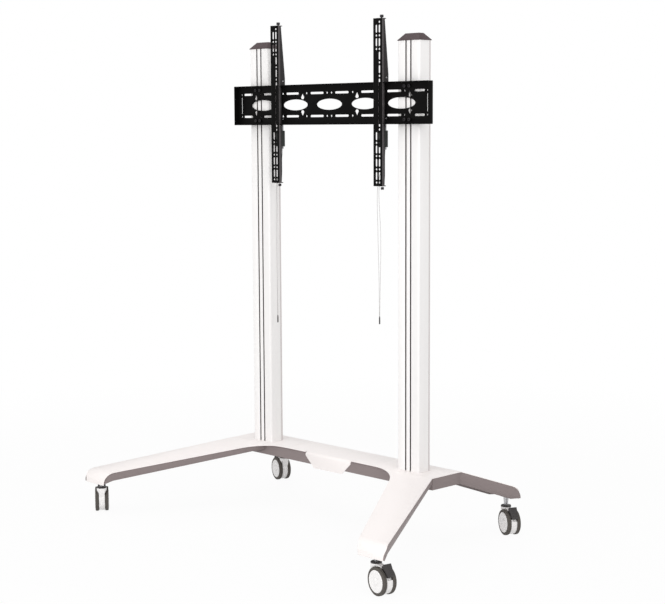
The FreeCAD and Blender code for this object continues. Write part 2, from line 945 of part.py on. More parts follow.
def make_side_covers():
    """One bent sheet for each side: over the front leg, the waist and the rear leg."""
    front = size("cover_front")
    back = size("cover_back")
    seam = size("seam_half")
    front_root = (size("front_root_inner"), -front)
    front_inner = (size("front_tip_inner"), -size("front_reach"))
    front_outer = (size("front_tip_outer"), -size("front_reach"))
    waist_front = (size("waist_front_half"), -front)
    waist_back = (size("waist_back_half"), back)
    rear_outer = (size("rear_tip_outer"), size("rear_reach"))
    rear_inner = (size("rear_tip_inner"), size("rear_reach"))
    rear_root = (size("rear_root_inner"), back)
    corners = [
        (seam, -front),
        front_root,
        front_inner,
        front_outer,
        waist_front,
        waist_back,
        rear_outer,
        rear_inner,
        rear_root,
        (seam, back),
    ]
    plan = plan_prism("CoverPlan", corners, size("front_tip_bottom") - OVER, base_top + OVER)
    rounds = (
        (front_root, size("front_web"), LONE_FILLET_SHARE),
        (rear_root, size("rear_web"), LONE_FILLET_SHARE),
        (waist_front, size("waist_round"), PAIRED_FILLET_SHARE),
        (waist_back, size("waist_round"), PAIRED_FILLET_SHARE),
        (front_inner, size("tip_round"), PAIRED_FILLET_SHARE),
        (front_outer, size("tip_round"), PAIRED_FILLET_SHARE),
        (rear_outer, size("tip_round"), PAIRED_FILLET_SHARE),
        (rear_inner, size("tip_round"), PAIRED_FILLET_SHARE),
    )
    for corner, radius, share in rounds:
        place = corners.index(corner)
        radius = fitted(radius, corners[place - 1], corner, corners[place + 1], share)
        round_edges(plan, radius, x=corner[0], y=corner[1])
    sheet = size("cover_sheet")
    front_in = size("front_reach") - sheet
    rear_in = size("rear_reach") - sheet
    side = side_prism(
        "CoverSide",
        [
            (-size("front_reach"), size("front_tip_bottom")),
            (-front_in, size("front_tip_bottom")),
            (-front_in, front_under(front_in)),
            (-size("front_bend"), beam_top),
            (back, beam_top),
            (rear_in, rear_under(rear_in)),
            (rear_in, size("rear_tip_bottom")),
            (size("rear_reach"), size("rear_tip_bottom")),
            (size("rear_reach"), size("rear_tip_top")),
            (back, base_top),
            (-size("front_bend"), base_top),
            (-size("front_reach"), size("front_tip_top")),
        ],
        seam - OVER,
        size("front_tip_outer") + OVER,
    )
    noses = (
        (front_nose, -size("front_reach"), size("front_tip_top")),
        (front_nose - sheet, -front_in, front_under(front_in)),
        (rear_nose, size("rear_reach"), size("rear_tip_top")),
        (rear_nose - sheet, rear_in, rear_under(rear_in)),
    )
    for radius, y, z in noses:
        round_edges(side, radius, y=y, z=z)
    opening = foot_block(column_half, size("foot_clearance"), beam_bottom, base_top + OVER)
    cover = cut(common(plan, side), [opening])
    keep("side_cover_right", cover)
    keep_twin("side_cover_left", cover)


def make_centre_cover():
    """The sheet between the side covers, with a flap folded down in front."""
    half = size("seam_half") - size("seam_gap")
    front = size("cover_front")
    sheet = size("cover_sheet")
    tongue = size("flap_top_half")
    slit = tongue + size("flap_relief")
    slit_end = -front + size("beam_round") + sheet * 2
    body = new_body("CentreCover")
    top = new_sketch(body, "XY_Plane", beam_top)
    draw_polygon(
        top,
        [
            (-half, -front),
            (-slit, -front),
            (-slit, slit_end),
            (-tongue, slit_end),
            (-tongue, -front),
            (tongue, -front),
            (tongue, slit_end),
            (slit, slit_end),
            (slit, -front),
            (half, -front),
            (half, size("cover_back")),
            (-half, size("cover_back")),
        ],
    )
    pad(body, top, sheet)
    flap = new_sketch(body, "XZ_Plane", front - sheet)
    knee = base_top - sheet - size("flap_straight")
    tip = base_top - size("flap_drop")
    draw_polygon(
        flap,
        [
            (-tongue, base_top),
            (-tongue, knee),
            (-size("flap_bottom_half"), tip),
            (size("flap_bottom_half"), tip),
            (tongue, knee),
            (tongue, base_top),
        ],
    )
    pad(body, flap, sheet)
    bend = size("beam_round") + size("flap_gap")
    round_edges(body, bend, x=ZERO, y=sheet - front, z=beam_top)
    round_edges(body, bend + sheet, x=ZERO, y=-front, z=base_top)
    keep("centre_cover", body)


# Columns


def make_columns():
    """The extrusions: two T-slots in front, a closed tube, and a cable duct behind."""
    half = size("column_width") / 2
    wall = size("column_wall")
    front = -size("column_front")
    length = size("column_top") - base_top
    run = (length + OVER) * 2
    for side, name in ((1, "right"), (-1, "left")):
        body = new_body("Column")
        outline = new_sketch(body, "XY_Plane", base_top)
        draw_rectangle(outline, -half, half, front, size("column_seam"))
        pad(body, outline, length)
        for x in (-half, half):
            round_edges(body, size("column_corner"), x=x, y=front)
        mouths = new_sketch(body, "XY_Plane", base_top)
        channels = new_sketch(body, "XY_Plane", base_top)
        for way in (1, -1):
            middle = size("slot_pitch") / 2 * way
            mouth = size("slot_mouth") / 2
            channel = size("slot_channel") / 2
            draw_rectangle(mouths, middle - mouth, middle + mouth, front - OVER, front + wall)
            draw_rectangle(channels, middle - channel, middle + channel, front + wall, -slot_back)
        pocket(body, channels, run)
        pocket(body, mouths, run)
        tube = new_sketch(body, "XY_Plane", base_top)
        slots_half = (size("slot_pitch") + size("slot_channel")) / 2 + wall
        inside = front + wall
        draw_polygon(
            tube,
            [
                (-cavity_half, inside),
                (-slots_half, inside),
                (-slots_half, -cavity_front),
                (slots_half, -cavity_front),
                (slots_half, inside),
                (cavity_half, inside),
                (cavity_half, cavity_back),
                (-cavity_half, cavity_back),
            ],
        )
        pocket(body, tube, run)
        for x in (-cavity_half, cavity_half):
            round_edges(body, size("column_corner") - wall, x=x, y=inside)
        duct = new_sketch(body, "XY_Plane", base_top)
        draw_rectangle(duct, -cavity_half, cavity_half, web_back_face, size("column_seam") + OVER)
        pocket(body, duct, run)
        keep(f"column_{name}", body, x=column_half * side)


def make_rear_covers():
    """The clip-on covers of the cable ducts, with a cable slot near each end."""
    half = size("column_width") / 2
    seam = size("column_seam")
    back = size("column_back")
    clip_out = cavity_half - size("clip_clearance")
    clip_in = clip_out - size("clip_sheet")
    clip_front = seam - size("clip_depth")
    for side, name in ((1, "right"), (-1, "left")):
        body = plan_prism(
            "RearCover",
            [
                (-half, seam),
                (-clip_out, seam),
                (-clip_out, clip_front),
                (-clip_in, clip_front),
                (-clip_in, back - size("column_wall")),
                (clip_in, back - size("column_wall")),
                (clip_in, clip_front),
                (clip_out, clip_front),
                (clip_out, seam),
                (half, seam),
                (half, back),
                (-half, back),
            ],
            base_top,
            size("column_top"),
        )
        for x in (-half, half):
            round_edges(body, size("column_corner"), x=x, y=back)
        slots = new_sketch(body, "XZ_Plane", -back)
        for z in (
            base_top + size("cable_slot_rise"),
            size("column_top") - size("cable_slot_drop"),
        ):
            draw_slot(slots, ZERO, z, size("cable_slot_width"), size("cable_slot_height"))
        pocket(body, slots, size("column_wall") * 4)
        keep(f"rear_cover_{name}", body, x=column_half * side)


def make_caps():
    """The end caps: a low hipped lid and a tongue inside the column."""
    half = size("column_width") / 2 + size("cap_overhang")
    front = size("column_front") + size("cap_overhang")
    back = size("column_back") + size("cap_overhang")
    slope = size("cap_slope")
    clearance = size("foot_clearance")
    for side, name in ((1, "right"), (-1, "left")):
        body = new_body("Cap")
        band = new_sketch(body, "XY_Plane", size("column_top"))
        draw_rectangle(band, -half, half, -front, back)
        pad(body, band, size("cap_band"))
        eave = new_sketch(body, "XY_Plane", size("column_top") + size("cap_band"))
        draw_rectangle(eave, -half, half, -front, back)
        ridge = new_sketch(body, "XY_Plane", size("column_top") + size("cap_height"))
        draw_rectangle(ridge, slope - half, half - slope, slope - front, back - slope)
        roof = body.newObject("PartDesign::AdditiveLoft", "Roof")
        roof.Profile = eave
        roof.Sections = [ridge]
        roof.Ruled = True
        tongue = new_sketch(body, "XY_Plane", size("column_top"))
        inner = cavity_half - clearance
        draw_rectangle(tongue, -inner, inner, clearance - cavity_front, cavity_back - clearance)
        pad(body, tongue, size("cap_tongue"), back=True)
        keep(f"cap_{name}", body, x=column_half * side)


# Wall plate and what clamps it


def clamp_places():
    """Places along X, from the stand's middle, of the clamp bolts of the right column."""
    return [column_half - size("slot_pitch") / 2, column_half + size("slot_pitch") / 2]


def make_wall_plate():
    """The tray: back sheet, four lips, ovals, slots, drops and round holes."""
    half = size("plate_width") / 2
    tall = size("plate_height") / 2
    sheet = size("plate_sheet")
    body = new_body("Tray")
    outline = new_sketch(body, "XZ_Plane", size("plate_back"))
    draw_rectangle(outline, -half, half, -tall, tall)
    pad(body, outline, size("plate_depth"))
    for x in (-half, half):
        for z in (-tall, tall):
            round_edges(body, size("plate_corner"), x=x, z=z)
    room = new_sketch(body, "XZ_Plane", size("plate_back") + sheet)
    draw_rectangle(room, sheet - half, half - sheet, sheet - tall, tall - sheet)
    pocket(body, room, size("plate_depth"), both=False, back=True)
    through = plate_lip_front * 2
    width = size("row_slot")
    for way in (1, -1):
        for rise in (1, -1):
            row = new_sketch(body, "XZ_Plane")
            height = size("row_height") * rise
            for letter in "abcd":
                start = size(f"row_slot_{letter}")
                end = size(f"row_slot_{letter}_end")
                draw_slot(row, (start + end) / 2 * way, height, end - start, width)
            for alias in ("dot_a", "dot_b", "dot_c", "dot_d", "dot_e"):
                draw_circle(row, size(alias) * way, height, width / 2)
            draw_circle(row, size("end_slot_place") * way, height, size("end_dot_radius"))
            for x in clamp_places():
                radius = size("clamp_radius") + size("clamp_clearance")
                draw_circle(row, x * way, size("clamp_height") * rise, radius)
            for alias in ("drop_a", "drop_b"):
                middle = size(alias) * way
                draw_polygon(
                    row,
                    [
                        (middle - size("drop_foot_half"), size("drop_low") * rise),
                        (middle + size("drop_foot_half"), size("drop_low") * rise),
                        (middle + size("drop_half"), size("drop_shoulder") * rise),
                        (middle, size("drop_high") * rise),
                        (middle - size("drop_half"), size("drop_shoulder") * rise),
                    ],
                )
            pocket(body, row, through)
    ends = new_sketch(body, "XZ_Plane")
    for way in (1, -1):
        middle = size("end_slot_place") * way
        reach = size("end_slot_height")
        draw_slot(ends, middle, ZERO, reach, size("end_slot_width"), upright=True)
    pocket(body, ends, through)
    ovals = []
    for index in range(-2, 3):
        oval = doc.addObject("Part::Ellipse", "Oval")
        oval.setExpression("MajorRadius", (size("oval_width") / 2).text)
        oval.setExpression("MinorRadius", (size("oval_height") / 2).text)
        oval.Placement = FreeCAD.Placement(
            FreeCAD.Vector(0, 0, 0), FreeCAD.Rotation(FreeCAD.Vector(1, 0, 0), 90)
        )
        place(oval, size("oval_pitch") * index, -size("plate_back") - sheet / 2, ZERO)
        window = doc.addObject("Part::Extrusion", "Window")
        window.Base = oval
        window.DirMode = "Normal"
        window.Solid = True
        window.Symmetric = True
        window.setExpression("LengthFwd", (OVER * 2).text)
        ovals.append(window)
    keep("wall_plate", cut(body, ovals), z=size("plate_centre"))


def make_column_brackets():
    """Flat bars behind the plate's upper and lower edges, against each column's face."""
    bars = []
    half = size("bracket_width") / 2
    high = size("plate_height") / 2 - size("bracket_inset")
    low = size("clamp_height") - size("bracket_below")
    near = size("column_front") + size("bracket_clearance")
    hole = size("clamp_radius") + size("clamp_clearance")
    for side in (1, -1):
        middle = column_half * side
        for rise in (1, -1):
            ends = (low, high) if rise > 0 else (-high, -low)
            block = new_box(
                (middle - half, -size("plate_back"), ends[0]), (middle + half, -near, ends[1])
            )
            holes = [
                through_bar(x * side, OVER - near, size("clamp_height") * rise, hole, OVER * 3)
                for x in clamp_places()
            ]
            bars.append(cut(block, holes))
    keep("column_brackets", group(bars), z=size("plate_centre"))


def make_clamp_bolts():
    """The eight bolts through plate and bracket, and their nuts in the T-slots."""
    bolts = []
    nuts = []
    front = -(size("plate_back") + size("plate_sheet"))
    nut_front = -(size("column_front") - size("column_wall") - size("nut_clearance"))
    nut_back = nut_front + size("nut_sheet")
    radius = size("clamp_radius")
    for side in (1, -1):
        for x in clamp_places():
            for rise in (1, -1):
                middle = x * side
                z = size("clamp_height") * rise
                shank = through_bar(middle, nut_back, z, radius, nut_back - front)
                cap = through_bar(middle, front, z, size("clamp_head_radius"), size("clamp_head"))
                bolts.append(fuse([shank, cap]))
                half = size("nut_width") / 2
                tall = size("nut_height") / 2
                block = new_box(
                    (middle - half, nut_front, z - tall), (middle + half, nut_back, z + tall)
                )
                hole = through_bar(middle, nut_back + OVER, z, radius, size("nut_sheet") + OVER * 2)
                nuts.append(cut(block, [hole]))
    keep("clamp_bolts", group(bolts), z=size("plate_centre"))
    keep("slot_nuts", group(nuts), z=size("plate_centre"))


# Arms, drawn about their own middle


plate_top = size("plate_centre") + size("plate_height") / 2
plate_bottom = size("plate_centre") - size("plate_height") / 2
arm_half = size("arm_width") / 2
flange_face = arm_half - size("arm_sheet")
arm_hole_pitch = (size("arm_top") - size("arm_bottom") - size("arm_hole_margin") * 2) / (ARM_HOLES - 1)


def behind(depth):
    """Place along Y of something that far behind an arm's web."""
    return web_back + depth


def make_arm(name, middle):
    """The perforated channel: web, hooked flange, and a tab at each end."""
    body = new_body("Arm")
    bottom = size("arm_bottom")
    top = size("arm_top")
    sheet = size("arm_sheet")
    web = new_sketch(body, "XZ_Plane", plate_lip_front)
    draw_rectangle(web, -arm_half, arm_half, bottom, top)
    pad(body, web, sheet)
    gap = size("hook_clearance")
    lip_inside = size("plate_sheet") + gap
    finger_front = size("plate_depth") + gap
    flange = new_sketch(body, "YZ_Plane", flange_face)
    draw_polygon(
        flange,
        [
            (web_back, top),
            (web_back, plate_top + gap),
            (behind(finger_front), plate_top + gap),
            (behind(finger_front), plate_top - size("hook_finger")),
            (behind(size("hook_depth")), plate_top - size("hook_finger")),
            (behind(size("hook_depth")), size("hook_shoulder")),
            (behind(size("flange_top")), top),
        ],
    )
    draw_rectangle(
        flange,
        web_back,
        behind(size("flange_top")),
        plate_bottom + lip_inside,
        plate_top - lip_inside,
    )
    draw_polygon(
        flange,
        [
            (web_back, bottom),
            (behind(size("flange_foot")), bottom),
            (behind(size("flange_low")), size("flange_low_top")),
            (behind(size("flange_low")), plate_bottom - gap),
            (web_back, plate_bottom - gap),
        ],
    )
    pad(body, flange, sheet)
    upper_tab = new_sketch(body, "XY_Plane", top - sheet)
    draw_rectangle(upper_tab, -arm_half, flange_face, web_back, behind(size("top_tab")))
    pad(body, upper_tab, sheet)
    lower_tab = new_sketch(body, "XY_Plane", bottom)
    draw_rectangle(lower_tab, -arm_half, flange_face, web_back, behind(size("bottom_tab")))
    pad(body, lower_tab, sheet)
    main_row = new_sketch(body, "XZ_Plane", plate_lip_front)
    second_row = new_sketch(body, "XZ_Plane", plate_lip_front)
    first = bottom + size("arm_hole_margin")
    radius = size("arm_hole_radius")
    for index in range(ARM_HOLES):
        draw_circle(main_row, size("arm_hole_place"), first + arm_hole_pitch * index, radius)
    for index in range(ARM_HOLES - 1):
        z = first + arm_hole_pitch * (index + 0.5)
        tall = size("arm_slot_height")
        draw_slot(main_row, size("arm_hole_place"), z, tall, radius * 2, upright=True)
        if index in SECOND_ROW_HOLES:
            draw_slot(second_row, -size("arm_hole_second"), z, tall, radius * 2, upright=True)
            low = first + arm_hole_pitch * index
            draw_circle(second_row, -size("arm_hole_second"), low, radius)
    pocket(body, main_row, sheet * 4)
    pocket(body, second_row, sheet * 4)
    upper_hole = new_sketch(body, "XY_Plane", top)
    screw = size("level_radius") + size("screw_clearance")
    draw_circle(upper_hole, size("level_place"), behind(size("level_behind")), screw)
    pocket(body, upper_hole, sheet * 4)
    lower_holes = new_sketch(body, "XY_Plane", bottom)
    screw = size("lock_radius") + size("screw_clearance")
    draw_circle(lower_holes, size("lock_place"), behind(size("lock_behind")), screw)
    cord_y = behind(size("cord_hole_behind"))
    draw_slot(
        lower_holes,
        -size("cord_hole_place"),
        cord_y,
        size("cord_hole_long"),
        size("cord_hole_radius") * 2,
    )
    pocket(body, lower_holes, sheet * 4)
    keep(name, body, x=middle)


def make_latch(side_name, middle):
    """The sliding latch and the housing that guides it behind the arm."""
    room = size("latch_clearance")
    front = -size("latch_front")
    back = front + size("latch_thick")
    block = new_box(
        (-size("latch_box_left"), web_back, size("latch_box_bottom")),
        (flange_face, -size("latch_box_back"), size("latch_box_top")),
    )
    channel = new_box(
        (size("latch_left") - room, front - room, size("latch_box_bottom") - OVER),
        (size("latch_right") + room, back + room, size("latch_box_top") + OVER),
    )
    keep(f"latch_housing_{side_name}", cut(block, [channel]), x=middle)
    top = plate_bottom + size("latch_overlap")
    body = plan_prism(
        "Latch",
        [
            (size("latch_left"), front),
            (size("latch_right"), front),
            (size("latch_right"), back),
            (size("latch_left"), back),
        ],
        size("latch_bottom"),
        top,
    )
    bevel_edges(body, size("latch_chamfer"), y=front, z=top)
    keep(f"latch_{side_name}", body, x=middle)


def make_screw(name, middle, x, y, low, radius, shank, head_low, head, head_radius):
    """A round-headed screw that stands upright."""
    body = new_body("Screw")
    knob = new_sketch(body, "XY_Plane", head_low)
    draw_circle(knob, ZERO, ZERO, head_radius)
    pad(body, knob, head)
    for z in (head_low, head_low + head):
        bevel_edges(body, size("knob_chamfer"), x=ZERO, y=ZERO, z=z)
    stem = new_sketch(body, "XY_Plane", low)
    draw_circle(stem, ZERO, ZERO, radius)
    pad(body, stem, shank)
    keep(name, body, x=middle + x, y=y)


def make_arm_screws(side_name, middle):
    head_low = size("arm_top") + size("level_stand")
    make_screw(
        f"levelling_screw_{side_name}",
        middle,
        size("level_place"),
        behind(size("level_behind")),
        head_low - size("level_shank"),
        size("level_radius"),
        size("level_shank") + size("level_head") / 2,
        head_low,
        size("level_head"),
        size("level_head_radius"),
    )
    knob_top = size("arm_bottom") - size("lock_stand")
    knob_low = knob_top - size("lock_head")
    make_screw(
        f"lock_screw_{side_name}",
        middle,
        size("lock_place"),
        behind(size("lock_behind")),
        knob_low + size("lock_head") / 2,
        size("lock_radius"),
        size("lock_shank") + size("lock_head") / 2,
        knob_low,
        size("lock_head"),
        size("lock_head_radius"),
    )


# Pull cords. Each strand's route is a list of places from its arm's middle, from the
# latch's foot, through the hole in the arm's lower tab, down to the tip that ends it.

CORD_ROUTES = {
    "cord_right_a": [
        (6.0, -34.0, 1489.0),
        (3.5, -36.0, 1445.0),
        (-9.0, -45.5, 1393.0),
        (-17.0, -50.0, 1340.0),
        (-17.4, -50.4, 1281.0),
        (-15.5, -50.0, 1222.0),
        (-12.2, -50.3, 1108.0),
        (-8.7, -50.0, 1009.0),
        (-7.4, -50.2, 930.0),
        (-7.0, -50.0, 852.0),
    ],
    "cord_right_b": [
        (9.5, -34.0, 1489.0),
        (8.5, -36.0, 1445.0),
        (0.5, -45.0, 1393.0),
        (-10.8, -50.0, 1340.0),
        (-5.2, -50.4, 1260.0),
        (0.5, -50.0, 1176.0),
        (1.2, -50.3, 1095.0),
        (-0.8, -50.0, 1025.0),
        (-3.2, -50.2, 940.0),
        (-4.8, -50.0, 852.0),
    ],
    "cord_left_a": [
        (6.0, -34.0, 1489.0),
        (4.5, -36.0, 1445.0),
        (-3.5, -45.5, 1393.0),
        (-11.5, -50.0, 1340.0),
        (-13.4, -50.3, 1255.0),
        (-14.4, -50.0, 1155.0),
        (-14.2, -50.3, 1055.0),
        (-13.0, -50.0, 970.0),
        (-12.0, -50.2, 890.0),
        (-11.7, -50.0, 809.0),
    ],
    "cord_left_b": [
        (9.5, -34.0, 1489.0),
        (8.5, -36.0, 1445.0),
        (2.5, -45.0, 1393.0),
        (-9.0, -50.0, 1340.0),
        (-7.0, -50.4, 1260.0),
        (-5.6, -50.0, 1170.0),
        (-6.0, -50.3, 1075.0),
        (-7.5, -50.0, 985.0),
        (-8.9, -50.2, 898.0),
        (-9.5, -50.0, 809.0),
    ],
}

# Share of the shorter run beside a corner that the corner's arc takes up
ARC_SHARE = 0.45


def cord_path(route):
    """Straight runs joined by tangent arcs, and the smallest of the arcs' radii."""
    points = [FreeCAD.Vector(*spot) for spot in route]
    edges = []
    radii = []
    start = points[0]
    for before, corner, after in zip(points, points[1:], points[2:]):
        run_in = corner - before
        run_out = after - corner
        turn = run_in.getAngle(run_out)
        tangent = ARC_SHARE * min(run_in.Length, run_out.Length)
        radii.append(tangent / math.tan(turn / 2))
        into = FreeCAD.Vector(run_in).normalize()
        out = FreeCAD.Vector(run_out).normalize()
        arc_start = corner - into * tangent
        arc_end = corner + out * tangent
        inward = (out - into).normalize()
        sagitta = tangent * math.tan(turn / 4)
        chord_middle = (arc_start + arc_end) * 0.5
        edges.append(Part.LineSegment(start, arc_start).toShape())
        edges.append(Part.Arc(arc_start, chord_middle - inward * sagitta, arc_end).toShape())
        start = arc_end
    edges.append(Part.LineSegment(start, points[-1]).toShape())
    return Part.Wire(edges), min(radii)


def make_cords():
    """The strands as plain tubes, and the tip under each pair."""
    radius = size("cord_diameter").number / 2
    for name, route in CORD_ROUTES.items():
        side = 1 if "right" in name else -1
        path, tightest = cord_path(route)
        run = path.Edges[0]
        ring = Part.Circle(run.valueAt(run.FirstParameter), run.tangentAt(run.FirstParameter), radius)
        quarters = [ring.toShape(math.pi / 2 * turn, math.pi / 2 * (turn + 1)) for turn in range(4)]
        section = Part.Wire(quarters)
        tube = path.makePipeShell([section], True, False)
        expected = math.pi * radius * radius * path.Length
        print(name, "smallest radius", round(tightest), "length", round(path.Length))
        print(name, "volume against section times length", round(tube.Volume / expected, 4))
        strand = doc.addObject("Part::Feature", "Strand")
        strand.Shape = tube
        keep(name, strand, x=size("arm_offset") * side)
    for side, name in ((1, "right"), (-1, "left")):
        ends = [CORD_ROUTES[f"cord_{name}_{letter}"][-1] for letter in "ab"]
        x, y, top = (as_size((one + two) / 2) for one, two in zip(*ends))
        body = new_body("CordTip")
        knot = new_sketch(body, "XY_Plane")
        draw_circle(knot, ZERO, ZERO, size("cord_tip_radius"))
        pad(body, knot, size("cord_tip_length"), back=True)
        bevel_edges(body, size("cord_tip_chamfer"), x=ZERO, y=ZERO, z=-size("cord_tip_length"))
        keep(f"cord_tip_{name}", body, x=size("arm_offset") * side + x, y=y, z=top)


# Casters, drawn about their swivel axis with the wheel trailing towards +X


CASTERS = {
    "front_right": (1, front_swivel_half, -front_swivel_reach),
    "front_left": (-1, front_swivel_half, -front_swivel_reach),
    "rear_right": (1, rear_swivel_half, rear_swivel_reach),
    "rear_left": (-1, rear_swivel_half, rear_swivel_reach),
}


def make_stems():
    """Stems, swivel caps and bushes of the four casters, all fixed to the legs."""
    stems = []
    caps = []
    bushes = []
    collar_top = size("collar_top")
    cap_low = collar_top + size("swivel_gap")
    cap_top = cap_low + size("swivel_cap_height")
    seat = size("caster_seat")
    pin = size("stem_pin_radius")
    for side, half, y in CASTERS.values():
        x = half * side
        pin_low = size("stem_pin_bottom")
        stems.append(
            fuse(
                [
                    new_cylinder((x, y, pin_low), pin, cap_top - pin_low),
                    new_cone(
                        (x, y, cap_top),
                        size("stem_foot_radius"),
                        size("stem_top_radius"),
                        seat - cap_top,
                    ),
                    new_cylinder((x, y, seat), size("stem_thread_radius"), size("stem_thread")),
                ]
            )
        )
        body = new_body("SwivelCap")
        disc = new_sketch(body, "XY_Plane", cap_low)
        draw_circle(disc, ZERO, ZERO, size("swivel_cap_radius"))
        draw_circle(disc, ZERO, ZERO, pin)
        pad(body, disc, size("swivel_cap_height"))
        bevel_rims(body, size("swivel_chamfer"), size("swivel_cap_radius"), x=ZERO, y=ZERO, z=cap_top)
        place(body, x, y, ZERO)
        caps.append(body)
        bush_low = collar_top - size("swivel_gap") - size("bush_height")
        outer = pin + size("bush_sheet") - size("swivel_clearance")
        ring = new_cylinder((x, y, bush_low), outer, size("bush_height"))
        bore = new_cylinder((x, y, bush_low - OVER), pin, size("bush_height") + OVER * 2)
        bushes.append(cut(ring, [bore]))
    keep("caster_stems", group(stems))
    keep("swivel_caps", group(caps))
    keep("swivel_bushes", group(bushes))


def lever_pivot():
    """Place in X and Z, in the caster's own frame, of the brake lever's pivot."""
    angle = math.radians(SIZES["lever_high_angle"])
    reach = size("lever_pivot_reach")
    return (
        size("wheel_trail") + reach * math.cos(angle),
        size("wheel_radius") + reach * math.sin(angle),
    )


def wedge(inner, outer, half, low_angle, high_angle):
    """A curved block about the wheel's axis, between two radii and two angles."""
    start = (size("wheel_trail"), half, size("wheel_radius"))
    sweep = high_angle - low_angle
    block = new_cylinder(start, outer, half * 2, "front", sweep, low_angle)
    core_start = (size("wheel_trail"), half + OVER, size("wheel_radius"))
    core = new_cylinder(core_start, inner, (half + OVER) * 2, "front")
    return cut(block, [core])


# The brake pedal's side outline, from the wheel's axis, as shares of the wheel's radius:
# up its outer face, over its top and back down the face that lies over the tyres
PEDAL_SHARES = (
    (1.12, 0.56),
    (0.58, 1.28),
    (0.413, 1.074),
    (0.518, 0.971),
    (0.70, 0.835),
    (0.835, 0.70),
    (0.96, 0.565),
    (1.06, 0.467),
)


def make_pedal():
    """The pedal of a brake lever: wide on top, narrower towards its foot."""
    side = new_body("PedalSide")
    outline = new_sketch(side, "XZ_Plane")
    corners = [
        (size("wheel_trail") + size("wheel_radius") * u, size("wheel_radius") * (1 + v))
        for u, v in PEDAL_SHARES
    ]
    draw_polygon(outline, corners)
    wide = size("pedal_top_half")
    narrow = size("pedal_foot_half")
    pad(side, outline, wide * 2, both=True)
    top = corners[1][0]
    foot = corners[0][0]
    plan = plan_prism(
        "PedalPlan",
        [
            (ZERO, -wide),
            (top, -wide),
            (foot, -narrow),
            (foot, narrow),
            (top, wide),
            (ZERO, wide),
        ],
        ZERO,
        size("caster_seat"),
    )
    return common(side, plan)


